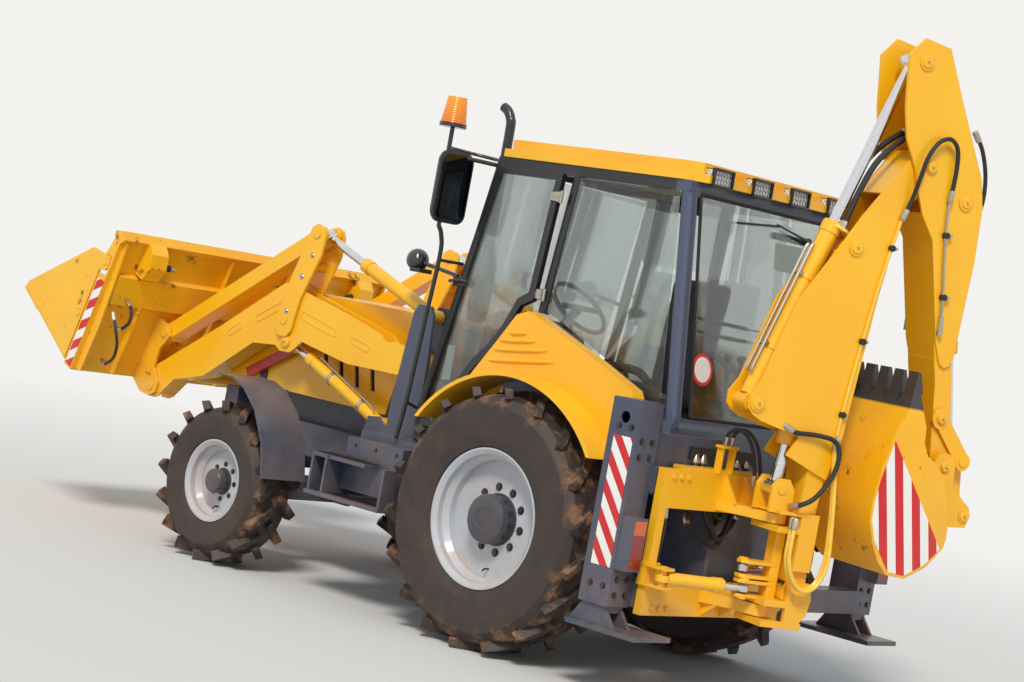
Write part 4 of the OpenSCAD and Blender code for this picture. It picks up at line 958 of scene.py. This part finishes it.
def beacon_finish():
    _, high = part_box("beacon")
    foot = high.z - BEACON_CAP
    material, tree = new_material("beacon")
    at = object_at(tree)
    z = part_of(tree, at, "Z")
    cap = spread(tree, z, foot - 0.001, foot)
    # painted highlight: the amber is painted lighter towards the cap's top, as light from above
    painted_top_light = spread(tree, z, foot, high.z)
    amber = blend_colour(tree, painted_top_light, rgb(238, 120, 10), rgb(255, 158, 26))
    base = blend_colour(tree, cap, rgb(32, 33, 36), amber)
    surface(tree, {"Base Color": base, "Roughness": 0.22, "Coat Weight": 0.5,
                   "Normal": bumped(tree, waves(tree, at, 22.0), 0.5, 0.003)})
    return material


nodes["beacon"].data.materials[0] = beacon_finish()

# %% [markdown]
# The rear window carries a wiper, a pair of gas struts behind it, a round sign in the lower
# corner and a plate for papers. Signs are left blank here: a white disc in a red ring.

# %% Rear window
PANE_TOP, PANE_LEAN = (-0.712, 2.590), 0.1635


def on_rear_pane(y, off, z):
    return place(PANE_TOP[0] - PANE_LEAN * (PANE_TOP[1] - z) - off, y, z)


pane_way = Vector((-1, 0, PANE_LEAN)).normalized()
window = Piece("rear_window_fittings", "chassis", "cab_trim", dark_plastic, zinc, blank_white, sign_red,
               blank_pale, seal_rubber)
# seal round the pane
SEAL_RADIUS = 0.009
corners = [(-0.620, 1.441), (0.620, 1.441), (0.620, 2.590), (-0.620, 2.590)]
for (ya, za), (yb, zb) in zip(corners, corners[1:] + corners[:1]):
    window.sweep([on_rear_pane(ya, 0.001, za), on_rear_pane(yb, 0.001, zb)], SEAL_RADIUS, 8, 5)
# wiper: motor housing inside, arm and blade outside
window.sweep([on_rear_pane(-0.06, -0.03, 2.47), on_rear_pane(-0.36, -0.03, 2.47)], 0.020, 10, 0)
window.turned([(0.020, -0.01), (0.020, 0.02), (0.012, 0.03), (0, 0.032)],
              on_rear_pane(-0.33, 0.004, 2.475), pane_way, 0)
window.sweep([on_rear_pane(-0.33, 0.026, 2.475), on_rear_pane(-0.02, 0.030, 2.53)], [0.008, 0.0045], 8, 0)
window.sweep([on_rear_pane(0.32, 0.016, 2.49), on_rear_pane(-0.08, 0.016, 2.525)], 0.007, 8, 0)
# struts and their ball ends
for z in (1.955, 1.885):
    window.sweep([on_rear_pane(0.56, -0.05, z), on_rear_pane(0.10, -0.06, z - 0.01)], 0.011, 10, 0)
    window.sweep([on_rear_pane(0.10, -0.06, z - 0.01), on_rear_pane(-0.22, -0.07, z - 0.02)], 0.006, 8, 1)
# blank round sign and blank paper plate
sign_at = on_rear_pane(0.535, 0.0, 1.694)
window.turned([(0.086, 0.0005), (0.086, 0.0022), (0.0, 0.0024)], sign_at, pane_way, 3, 40)
window.turned([(0.067, 0.0020), (0.067, 0.0030), (0.0, 0.0032)], sign_at, pane_way, 2, 40)
papers = [(-0.06, 2.435), (-0.31, 2.435), (-0.31, 2.285), (-0.06, 2.285)]
window.prism(papers, on_rear_pane, -0.010, -0.012, 4)
window.done()

# %% [markdown]
# Outside the cab, a black grab rail runs up in front of each door to the mirror's stalk.

# %% Cab fittings
DOOR_LEAN = (0.760 - 0.700) / (2.655 - 1.160)
RAIL_RADIUS, STAY_RADIUS = 0.013, 0.009


def on_door(x, off, z):
    return place(x, 0.768 + off - DOOR_LEAN * (z - 1.160), z)


cab = Piece("cab_fittings", "chassis", "cab_trim", black_paint)
for side in SIDES:
    cab.tube(run(place, side, (0.85, 0.93, 2.21), (0.848, 0.9, 2.16), (0.855, 0.874, 2.05),
                 (0.88, 0.872, 1.7), (0.915, 0.872, 1.211), (0.945, 0.872, 0.985)), RAIL_RADIUS)
    # stays of the rail
    cab.sweep(run(place, side, (0.856, 0.87, 2.02), (0.8, 0.735, 2.02)), STAY_RADIUS, 8)
    cab.sweep(run(place, side, (0.916, 0.872, 1.2), (0.905, 0.745, 1.16)), STAY_RADIUS, 8)
    cab.block((1.070, side * 0.700, 1.930), (1.150, side * 0.800, 1.955))
cab.done()

# %% [markdown]
# The mirrors and the exhaust are closed solids in CAD. Here a mirror is a domed housing with
# round corners that looks straight back, and the exhaust has a silencer with drawn-in ends and a
# pipe that bends forward at its tip.

# %% Mirrors and exhaust
MIRROR_WIDE, MIRROR_TALL, MIRROR_CORNER, MIRROR_YAW = 0.118, 0.203, 0.060, math.radians(8)


def rounded(half_wide, half_tall, corner, steps=5):
    """Outline of a rectangle with round corners, counter-clockwise."""
    points = []
    for quarter, (sx, sy) in enumerate(((1, 1), (-1, 1), (-1, -1), (1, -1))):
        for i in range(steps + 1):
            a = math.pi / 2 * (quarter + i / steps)
            points.append((sx * (half_wide - corner) + corner * math.cos(a),
                           sy * (half_tall - corner) + corner * math.sin(a)))
    return points


mirrors = Piece("mirror_pair", "chassis", "black_paint", black_paint, mirror_glass)
outline = rounded(MIRROR_WIDE, MIRROR_TALL, MIRROR_CORNER)
for side in SIDES:
    middle = place(0.822, side * 0.915, 2.430)
    back = Vector((-math.cos(MIRROR_YAW), side * math.sin(MIRROR_YAW), 0))
    along = Vector((-back.y, back.x, 0))

    def layered(layers, finish):
        points = [middle + along * u * grow + Vector((0, 0, v * grow)) + back * off
                  for grow, off in layers for u, v in outline]
        mirrors.add(points, skin(len(layers), len(outline)), finish)

    layered([(0.94, 0.020), (1.0, 0.016), (1.0, 0.002), (0.95, -0.012), (0.80, -0.022), (0.40, -0.027)], 0)
    layered([(0.90, 0.0202), (0.90, 0.0216), (0.88, 0.0222)], 1)
    mirrors.tube(run(place, side, (0.706, 0.7052, 2.6), (0.79, 0.835, 2.604), (0.85, 0.93, 2.6)),
                 0.0120, 0, 14)
    mirrors.sweep(run(place, side, (0.85, 0.93, 2.2), (0.85, 0.93, 2.64)), 0.0120, 14, 0)
    mirrors.turned([(0.019, -0.014), (0.021, 0.0), (0.019, 0.014)], place(0.850, side * 0.930, 2.600), UP)
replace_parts(mirrors.done(), "mirrors")

stack = Piece("exhaust_stack", "chassis", "black_paint", black_paint, steel)


def on_stack(*points):
    return [place(1.680, -0.360, 0) + Vector(p) for p in points]


stack.turned([(0.041, 1.290), (0.041, 1.693), (0.056, 1.700), (0.068, 1.722), (0.070, 1.750), (0.070, 2.050),
              (0.068, 2.078), (0.056, 2.098), (0.036, 2.106), (0.034, 2.150)],
             *on_stack((0, 0, 0)), UP, 0, 36)
stack.tube(on_stack((0, 0, 2.14), (0, 0, 2.5), (0, 0, 2.9), (0.012, 0, 2.975), (0.045, 0, 3.022),
                    (0.085, 0, 3.045)), 0.0310, 0, 20)
stack.turned([(0.0340, -0.015), (0.0340, 0.015)], *on_stack((0, 0, 2.16)), UP, 1, 28)
stack.tube(on_stack((0, 0.0995, 1.33), (0, 0.04, 1.33), (0, 0.008, 1.345), (0, 0, 1.4)), 0.0380, 0, 20)
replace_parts(stack.done(), "exhaust")

# %% [markdown]
# Each door has two bright hinge plates at its rear edge, a handle in front and a blank sticker.

# %% Doors' fittings
for side, word in zip(SIDES, ("left", "right")):
    door = Piece(f"door_fittings_{word}", f"door_{word}", "cab_trim", zinc, black_paint, blank_pale,
                 seal_rubber)

    def face(u, d, v, s=side):
        at = on_door(u, d, v)
        return Vector((at.x, at.y * s, at.z))

    for z, leaf in ((2.470, 0.758), (1.930, 0.764)):
        rim = leaf + 0.0005
        plate_at = run(place, side, (0.142, rim, z - 0.028), (0.206, rim, z - 0.022),
                       (0.206, rim, z + 0.022), (0.142, rim, z + 0.028))
        door.add(plate_at + [p + Vector((0, side * 0.003, 0)) for p in plate_at],
                 [(0, 1, 2, 3), (7, 6, 5, 4), (0, 4, 5, 1), (1, 5, 6, 2), (2, 6, 7, 3), (3, 7, 4, 0)], 0)
        door.sweep(run(place, side, (0.13, 0.76, z - 0.034), (0.13, 0.76, z + 0.034)), 0.0100, 16, 0)
        for u in (0.158, 0.190):
            head_at, = run(place, side, (u, leaf + 0.0035, z))
            door.turned([(0.006, 0.0), (0.006, 0.003), (0.0, 0.004)], head_at, (0, side, 0), 0, 10)
    door.prism([(0.700, 1.900), (0.800, 1.890), (0.808, 1.945), (0.706, 1.952)], face, 0.035, 0.050, 1)
    door.tube([face(0.690, 0.052, 1.925), face(0.720, 0.075, 1.928), face(0.800, 0.075, 1.918),
               face(0.826, 0.052, 1.912)], 0.008, 1)
    door.prism([(0.705, 1.370), (0.770, 1.360), (0.768, 1.560), (0.715, 1.565)], face, 0.0125, 0.0135, 2)
    door.done()

# %% [markdown]
# The rear fender's shoulder has four pressed ribs. A rib is a low rounded bar with tapered ends
# that lies half in the slab's outer face.

# %% Fender ribs and body bolts
# share of the rib's length, radius there
RIB = [(0, 0.003), (0.06, 0.010), (0.2, 0.013), (0.5, 0.014), (0.8, 0.013), (0.94, 0.010), (1, 0.003)]
fender = Piece("fender_ribs", "chassis", "yellow_paint", yellow_paint)
RIBS = [((0.215, 1.697), (0.090, 1.711)), ((0.278, 1.647), (0.015, 1.678)),
        ((0.310, 1.592), (-0.075, 1.639)), ((0.340, 1.528), (-0.142, 1.588))]
for side in SIDES:
    for (xa, za), (xb, zb) in RIBS:
        line = [place(xa + (xb - xa) * t, side * 0.8795, za + (zb - za) * t) for t, _ in RIB]
        fender.sweep(line, [radius for _, radius in RIB], 12)
fender.done()

body_bolts = []
for side in SIDES:
    out_way = (0, side, 0)
    for x, z in ((-0.905, 1.360), (-0.985, 1.360), (-0.985, 0.560), (-0.900, 0.560)):
        body_bolts.append((place(x, side * 1.1701, z), out_way, 0.013))
    body_bolts += [(place(-1.0301, side * y, z), (-1, 0, 0), 0.013)
                   for z in (1.30, 1.22, 0.60, 0.52) for y in (1.045, 1.125)]
    for x in (0.83, 1.00, 1.17):
        body_bolts.append((place(x, side * 0.9556, 0.900), out_way, 0.009))
bolts("chassis_bolts", "chassis", steel, body_bolts)

# %% [markdown]
# Hydraulic hoses are black rubber with crimped zinc ferrules. Both ends of each are screwed into
# something, so none is a free cord. A hose that crosses a joint is fixed where it lies and rides on
# neither body. Steel pipes carry the oil along each plate, held by clamps.

# %% Hoses and pipes of the digging arm
HOSE = 0.0115
tip = Piece("boom_tip_hoses", "boom", "black_paint", hose_rubber, zinc)
for side in SIDES:
    tip.hose(run(arm, side, (0.362, 0.118, 2.64), (0.392, 0.126, 2.74), (0.402, 0.15, 2.86),
                 (0.42, 0.16, 2.97), (0.47, 0.162, 3.055), (0.54, 0.162, 3.085), (0.596, 0.16, 3.04),
                 (0.62, 0.15, 2.93), (0.62, 0.142, 2.78)), HOSE)
tip.hose(run(arm, 1, (0.06, -0.035, 2.52), (0.12, -0.035, 2.72), (0.2, -0.035, 2.9), (0.32, -0.035, 3.03),
             (0.43, -0.035, 3.1)), 0.016)
tip.hose(run(arm, 1, (0.04, 0.035, 2.5), (0.09, 0.035, 2.7), (0.17, 0.035, 2.88), (0.29, 0.035, 3.02),
             (0.42, 0.035, 3.11)), 0.016)
tip.done(blend=("dipper", arm(0.36, 0, 2.70), arm(0.60, 0, 3.02)))

pipes = Piece("boom_pipes", "boom", "black_paint", pipe_paint, zinc, dark_plastic, hose_rubber)
for side in SIDES:
    pipes.tube(run(arm, side, (0.362, 0.114, 2.65), (0.3, 0.114, 2.3), (0.262, 0.114, 2.03),
                   (0.222, 0.114, 1.68), (0.206, 0.114, 1.49)), 0.0085, 0)
    for out, up in ((0.331, 2.480), (0.255, 1.985), (0.214, 1.600)):
        pipes.sweep(run(arm, side, (out, 0.1, up), (out, 0.13, up)), 0.017, 8, 2)
        pipes.sweep(run(arm, side, (out + 0.02, 0.104, up), (out + 0.02, 0.134, up)), 0.008, 6, 1)
# guide ring for the hoses between the plates
ring_at, ring_way = arm(0.06, 0, 2.52), in_arm((0.45, 0, 1)).normalized()
pipes.band(0.066, 0.078, 0.008, ring_at, ring_way)
pipes.done()

pipes = Piece("dipper_pipes", "dipper", "black_paint", pipe_paint, zinc, dark_plastic, hose_rubber)
for side in SIDES:
    pipes.tube(run(arm, side, (0.62, 0.139, 2.79), (0.628, 0.139, 2.66), (0.66, 0.139, 2.45),
                   (0.692, 0.139, 2.27), (0.704, 0.139, 2.17)), 0.0080, 1)
    pipes.sweep(run(arm, side, (0.704, 0.139, 2.19), (0.712, 0.139, 2.09)), [0.013, 0.017], 10, 1)
    for out, up in ((0.636, 2.600), (0.690, 2.285)):
        pipes.sweep(run(arm, side, (out, 0.124, up), (out, 0.156, up)), 0.017, 8, 2)
        pipes.sweep(run(arm, side, (out + 0.03, 0.124, up), (out + 0.03, 0.15, up)), 0.010, 6, 1)
    # hose loop behind the dipper's outer edge, down to the bucket ram
    pipes.hose(run(arm, side, (0.712, 0.13, 3.15), (0.77, 0.138, 3.07), (0.822, 0.134, 2.95),
                   (0.848, 0.12, 2.82), (0.842, 0.095, 2.7), (0.815, 0.075, 2.62)),
               HOSE, 3, 1)
pipes.done()

pipe = Piece("dipper_ram_pipes", "dipper_barrel", "yellow_paint", zinc, dark_plastic, yellow_paint)
RAM_FOOT, RAM_WAY = Vector((-0.300, 0, 1.590)), Vector((0.3212, 0, 0.9470))
RAM_OUT = Vector((-0.9470, 0, 0.3212))


def on_ram(along, out, across):
    at = RAM_FOOT + RAM_WAY * along + RAM_OUT * out
    return arm(at.x, across, at.z)


for across in (-0.022, 0.022):
    pipe.tube([on_ram(0.860, 0.060, across), on_ram(0.852, 0.068, across), on_ram(0.810, 0.070, across),
               on_ram(0.500, 0.070, across), on_ram(0.200, 0.070, across), on_ram(0.150, 0.068, across),
               on_ram(0.140, 0.060, across)], 0.0085, 0)
for along in (0.30, 0.70):
    way = on_ram(1, 0, 0) - on_ram(0, 0, 0)
    pipe.band(0.0505, 0.0550, 0.015, on_ram(along, 0, 0), way, 2)
    pipe.sweep([on_ram(along, 0.060, -0.034), on_ram(along, 0.060, 0.034)], 0.012, 8, 0)
pipe.done()

foot = Piece("boom_foot_hoses", "swing_post", "black_paint", hose_rubber, zinc)
foot.hose(run(arm, 1, (0.02, -0.098, 1.1), (0.04, -0.15, 1.12), (0.105, -0.17, 1.17), (0.185, -0.17, 1.29),
              (0.205, -0.165, 1.4), (0.17, -0.15, 1.465), (0.06, -0.13, 1.478), (-0.05, -0.118, 1.475),
              (-0.11, -0.1, 1.5)), 0.0125)
foot.hose(run(arm, 1, (0.06, 0.098, 1.1), (0.08, 0.14, 1.13), (0.15, 0.15, 1.2), (0.2, 0.14, 1.33),
              (0.206, 0.12, 1.46)), 0.0125)
foot.done(blend=("boom", arm(0.10, 0, 1.10), arm(0.18, 0, 1.45)))

sleeve = Piece("boom_foot_sleeved_hoses", "swing_post", "yellow_paint", pipe_paint, zinc)
# out, across, up, share of the distance between the two hoses
SLEEVED = [(0.010, 0.142, 1.040, 1), (0.000, 0.156, 0.960, 1), (0.000, 0.160, 0.840, 1),
           (0.045, 0.160, 0.740, 1), (0.120, 0.160, 0.690, 1), (0.200, 0.158, 0.730, 1),
           (0.240, 0.156, 0.840, 1), (0.240, 0.150, 1.000, 0.7), (0.228, 0.140, 1.180, 0.5),
           (0.208, 0.122, 1.380, 0.4), (0.206, 0.116, 1.470, 0.3)]
for shift in (0.0, 0.026):
    sleeve.hose([arm(out, -across - shift * share, up) for out, across, up, share in SLEEVED], HOSE)
sleeve.done(blend=("boom", arm(0.16, 0, 0.85), arm(0.20, 0, 1.30)))

# %% [markdown]
# Behind the carriage, thick hoses hang from the valve block on the cab's rear wall and cross the
# carriage's window. Thin ones run down the carriage's sides and loop over its upper bar.

# %% Hoses of the carriage
drop = Piece("carriage_hoses", "chassis", "black_paint", hose_rubber, zinc, dark_plastic)
drop.block((-0.998, 0.140, 1.235), (-0.925, 0.680, 1.300), 2)
for y0, y1, sag, radius in ((0.62, 0.30, 0.90, 0.017), (0.56, 0.22, 0.84, 0.017), (0.28, 0.52, 0.95, 0.014),
                            (0.20, 0.60, 0.80, 0.014)):
    drop.hose(run(place, 1, (-0.975, y0, 1.26), (-1.01, y0, 1.16), (-1.03, (2 * y0 + y1) / 3, sag + 0.06),
                  (-1.036, (y0 + y1) / 2, sag), (-1.03, (y0 + 2 * y1) / 3, sag + 0.02),
                  (-1.0, y1, sag + 0.10), (-0.975, y1, sag + 0.14)), radius)
drop.done()

feed = Piece("carriage_fittings", "carriage", "yellow_paint", yellow_paint, zinc, hose_rubber, steel)
for y in (-0.072, 0.912):
    feed.hose(run(place, 1, (-1.088, y, 0.986), (-1.096, y - 0.004, 0.89), (-1.096, y + 0.004, 0.75),
                  (-1.088, y, 0.624)), 0.008, 2, 1)
# hose bracket on the carriage's upper bar
feed.block((-1.118, 0.46, 1.19), (-1.075, 0.47, 1.33))
feed.block((-1.118, 0.56, 1.19), (-1.075, 0.57, 1.33))
feed.block((-1.122, 0.45, 1.32), (-1.070, 0.58, 1.335))
for y in (0.49, 0.54):
    feed.hose(run(place, 1, (-1.096, y, 1.33), (-1.11, y, 1.4), (-1.16, y - 0.02, 1.43),
                  (-1.215, y - 0.05, 1.38), (-1.24, y - 0.08, 1.28), (-1.25, y - 0.1, 1.16)), 0.010, 2, 1)
feed.done()
carriage_bolts = [(place(-1.1112, y, z), (-1, 0, 0), 0.014)
                  for z in (0.478, 1.150) for y in (-0.10, -0.04, 0.02, 0.80, 0.86, 0.92)]
bolts("carriage_bolts", "carriage", yellow_paint, carriage_bolts)

# %% [markdown]
# Every big pin shows its end: a round boss and a grease nipple. They are made from one short
# table.

# %% Pin ends
PINS = [
    # body, out, up, how far across its face is, boss radius
    ("boom", 0.120, 2.450, 0.113, 0.040), ("boom", -0.300, 1.590, 0.113, 0.040),
    ("dipper", 0.329, 3.445, 0.134, 0.040), ("dipper", 0.476, 2.927, 0.136, 0.034),
    ("dipper", 0.735, 2.790, 0.134, 0.038), ("dipper", 0.832, 1.664, 0.140, 0.030),
    ("hoe_bucket", 0.885, 1.420, 0.172, 0.030), ("hoe_bucket", 1.063, 1.180, 0.172, 0.032),
]
for body in dict.fromkeys(row[0] for row in PINS):
    ends = Piece(f"pin_ends_{body}", body, "yellow_paint", yellow_paint, zinc)
    for owner, out, up, face_at, radius in PINS:
        if owner != body:
            continue
        for side in SIDES:
            way = in_arm((0, side, 0))
            at = arm(out, side * face_at, up)
            ends.turned([(radius * 0.86, -0.001), (radius * 0.86, 0.004), (radius * 0.74, 0.007), (0, 0.007)],
                        at, way, 0)
            ends.turned([(0.006, 0.006), (0.006, 0.014), (0.003, 0.018), (0, 0.019)], at, way, 1, 8)
    ends.done()

# %% [markdown]
# The loader's arms have pressed outlines on their outer plates, pins at every corner, and a pair
# of pipes on their inner plates. The lift rams have two clamp bands and a pipe each.

# %% Loader fittings
ARM_FACE = 0.640
PRESSED = [
    # corners of each pressed outline, forward and up
    [(2.157, 1.572), (1.860, 1.505), (1.848, 1.478), (1.868, 1.464), (2.150, 1.524), (2.168, 1.548)],
    [(2.352, 1.610), (2.565, 1.492), (2.572, 1.464), (2.548, 1.458), (2.352, 1.566), (2.342, 1.590)],
    [(1.690, 1.482), (1.540, 1.450), (1.532, 1.428), (1.552, 1.414), (1.690, 1.446), (1.702, 1.464)],
    [(2.700, 1.392), (2.800, 1.330), (2.822, 1.344), (2.806, 1.368), (2.724, 1.418), (2.704, 1.412)],
]
loader = Piece("loader_arm_fittings", "loader_arms", "yellow_paint", yellow_paint, zinc, dark_plastic)
for side in SIDES:
    for outline in PRESSED:
        line = [place(x, side * ARM_FACE, z) for x, z in outline]
        loader.sweep(smooth_path(line + line[:1], 4), 0.0035, 6)
    # pipe pair on the inner plate, ahead of the tower
    for drop in (0.030, 0.048):
        loader.tube(run(place, side, (2.16, 0.511, 1.672 - drop), (2.14, 0.502, 1.668 - drop),
                        (1.95, 0.502, 1.640 - drop), (1.78, 0.502, 1.604 - drop),
                        (1.76, 0.511, 1.600 - drop)), 0.006, 1, 8)
    for x, z in ((2.05, 1.656), (1.85, 1.616)):
        loader.block((x - 0.012, side * 0.503 - 0.008, z - 0.058),
                     (x + 0.012, side * 0.503 + 0.008, z - 0.020), 2)
    for x, z, radius in ((1.140, 1.410, 0.040), (3.470, 0.900, 0.038), (2.270, 1.368, 0.036)):
        at, way = place(x, side * (ARM_FACE + 0.005), z), (0, side, 0)
        loader.turned([(radius, -0.002), (radius, 0.006), (radius * 0.8, 0.010), (0, 0.010)], at, way, 0)
        loader.turned([(0.006, 0.009), (0.006, 0.017), (0, 0.020)], at, way, 1, 8)
loader.done()

lever_bolts = [(place(x, side * 0.6621, z), (0, side, 0), 0.012) for side in SIDES
               for x, z in ((2.144, 1.917), (2.206, 1.780), (2.289, 1.557))]
bolts("lever_bolts", "tilt_levers", zinc, lever_bolts, washer=1.6)

lift_a, lift_b = Vector((1.390, 0, 1.010)), Vector((2.270, 0, 1.368))
lift_way = (lift_b - lift_a).normalized()
bands = Piece("lift_ram_fittings", "lift_barrels", "yellow_paint", zinc, yellow_paint, hose_rubber)
for side in SIDES:
    def on_lift(along, across, lift, s=side):
        at = lift_a + lift_way * along + Vector((-lift_way.z, 0, lift_way.x)) * lift
        return place(at.x, s * (0.575 + across), at.z)

    for along in (0.20, 0.52):
        way = on_lift(1, 0, 0) - on_lift(0, 0, 0)
        bands.band(0.0385, 0.0425, 0.014, on_lift(along, 0, 0), way)
    bands.tube([on_lift(*p) for p in ((0.68, 0.0, 0.040), (0.66, 0.0, 0.052), (0.52, 0.006, 0.052),
                                      (0.20, 0.012, 0.052), (0.10, 0.02, 0.050), (0.06, 0.03, 0.038))],
               0.006, 0, 8)
bands.done()

# %% [markdown]
# On the back of the loading bucket, short hoses feed the two rams that open its jaw, whose ends
# stick out of their covers.

# %% Bucket hoses
clam = Piece("clam_hoses", "loader_bucket", "black_paint", hose_rubber, zinc, dark_plastic)
for side in SIDES:
    clam.hose(run(place, side, (3.405, 1.1, 1.33), (3.35, 1.105, 1.24), (3.33, 1.09, 1.15),
                  (3.365, 1.07, 1.06), (3.455, 1.05, 1.01), (3.51, 1.04, 1.02)), 0.010)
    clam.hose(run(place, side, (3.42, 1.0, 1.42), (3.36, 1.0, 1.37), (3.345, 1.01, 1.3), (3.375, 1.03, 1.25),
                  (3.43, 1.04, 1.235)), 0.010)
    clam.sweep(run(place, side, (3.36, 0.845, 1.68), (3.33, 0.775, 1.665)), 0.022, 12, 2)
    clam.sweep(run(place, side, (3.345, 0.81, 1.672), (3.32, 0.745, 1.66)), 0.012, 10, 1)
clam.done()

# %% [markdown]
# The bonnet has two round headlamps at its front and a latch on each side. The steps under the
# doors have a toothed tread.

# %% Bonnet and steps
nose = Piece("bonnet_fittings", "bonnet", "black_paint", black_paint, lamp_lens, zinc)
for side in SIDES:
    at, way = place(3.020, side * 0.290, 1.440), (1, 0, -0.1)
    nose.turned([(0.078, -0.010), (0.078, 0.010), (0.066, 0.016), (0.064, 0.008), (0, 0.008)], at, way, 0, 32)
    nose.turned([(0.062, 0.006), (0.060, 0.014), (0.030, 0.022), (0, 0.024)], at, way, 1, 32)
    nose.block((2.60, side * 0.450, 1.10), (2.66, side * 0.458, 1.16), 0)
nose.done()

treads = Piece("step_treads", "chassis", "slate_paint", steel)
for side in SIDES:
    for low_x, high_x, y, z in ((0.95, 1.37, 1.015, 0.822), (0.79, 1.36, 1.00, 0.602)):
        count = int((high_x - low_x) / 0.030)
        for i in range(count):
            x = low_x + 0.030 * i
            treads.block((x, side * y - 0.055, z - 0.001), (x + 0.008, side * y + 0.055, z + 0.005))
treads.done()

# %% [markdown]
# The seat shows through the glass: a cushion and a back, each a crowned closed form whose sides
# pull in between the corners. A remeshed block is blown up a little by Blender's Cloth, and the
# distance a point may move is capped, so that it stays inside its CAD solid's space.

# %% Seat
SEAT_ROUND, SEAT_GRID, SEAT_CROWN = 0.035, 0.014, 0.014
CLOTH_FRAMES, CLOTH_PRESSURE = 14, 4.0


def cushion(name, corners):
    """Rounded pad in a box of eight corners, swollen by a short cloth run."""
    mesh = bpy.data.meshes.new(name)
    faces = [(0, 3, 2, 1), (4, 5, 6, 7), (0, 1, 5, 4), (1, 2, 6, 5), (2, 3, 7, 6), (3, 0, 4, 7)]
    mesh.from_pydata([place(*c) for c in corners], [], faces)
    thing = new_object(name, mesh)
    bevel = thing.modifiers.new("round", "BEVEL")
    bevel.width, bevel.segments = SEAT_ROUND, 3
    remesh = thing.modifiers.new("grid", "REMESH")
    remesh.mode, remesh.voxel_size = "VOXEL", SEAT_GRID
    settle(thing)
    start = np.array([v.co for v in thing.data.vertices], float)
    cloth = thing.modifiers.new("cloth", "CLOTH")
    cloth.settings.use_pressure = True
    cloth.settings.uniform_pressure_force = CLOTH_PRESSURE
    cloth.settings.effector_weights.gravity = 0.0
    scene = bpy.context.scene
    for step in range(1, CLOTH_FRAMES + 1):
        scene.frame_set(step)
    settle(thing)
    scene.frame_set(1)
    end = np.array([v.co for v in thing.data.vertices], float)
    move = end - start
    length = np.linalg.norm(move, axis=1, keepdims=True)
    capped = start + move * np.minimum(1.0, SEAT_CROWN / np.maximum(length, 1e-9))
    thing.data.vertices.foreach_set("co", capped.astype(np.float32).ravel())
    thing.data.update()
    thing.data.materials.clear()
    thing.data.materials.append(seat_fabric)
    finer = thing.modifiers.new("finer", "SUBSURF")
    finer.levels = finer.render_levels = 1
    settle(thing)
    for face in thing.data.polygons:
        face.use_smooth = True
    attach(thing, "chassis")
    print(name, len(thing.data.polygons), "faces")
    return thing


def pad_corners(low, high, tilt):
    """Corners of a box whose top is shifted by tilt along the machine."""
    (x0, y0, z0), (x1, y1, z1) = low, high
    flat = [(x0, y0), (x1, y0), (x1, y1), (x0, y1)]
    return [(x, y, z0) for x, y in flat] + [(x + tilt, y, z1) for x, y in flat]


seat_pad = cushion("seat_cushion", pad_corners((-0.310, -0.235, 1.315), (0.185, 0.235, 1.430), 0.0))
cushion("seat_back", pad_corners((-0.335, -0.225, 1.430), (-0.235, 0.225, 2.170), -0.060))
base = Piece("seat_base", "chassis", "cab_trim", dark_plastic, zinc)
base.block((-0.235, -0.165, 1.0605), (0.095, 0.165, 1.150))
for y in (-0.150, 0.130):
    base.block((-0.215, y, 1.150), (0.075, y + 0.02, 1.290))
base.block((-0.290, -0.220, 1.290), (0.170, 0.220, 1.318))
for side in SIDES:
    base.tube(run(place, side, (-0.28, 0.245, 1.56), (-0.2, 0.262, 1.61), (-0.02, 0.262, 1.612),
                  (0.06, 0.262, 1.6)), 0.024, 0, 12)
    base.sweep(run(place, side, (-0.3, 0.225, 1.5), (-0.285, 0.25, 1.56)), 0.016, 8, 0)
base.done()
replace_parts(seat_pad, "seat")

knobs = Piece("lever_knobs", "chassis", "black_paint", dark_plastic, hose_rubber)
for y in (-0.150, -0.050, 0.050, 0.150):
    knobs.turned([(0.010, -0.010), (0.020, 0.004), (0.024, 0.020), (0.018, 0.036), (0, 0.042)],
                 place(-0.740, y * 1.2, 1.760), (0.08, y * 0.3, 1), 0, 14)
    for i in range(4):
        knobs.turned([(0.030 - 0.004 * i, 0.0), (0.034 - 0.004 * i, 0.008), (0.026 - 0.004 * i, 0.016)],
                     place(-0.770 + 0.001 * i, y, 1.472 + 0.016 * i), UP, 1, 14)
knobs.done()

# %% Size of the whole
low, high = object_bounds()
print("box", [round(h - l, 3) for l, h in zip(low, high)])
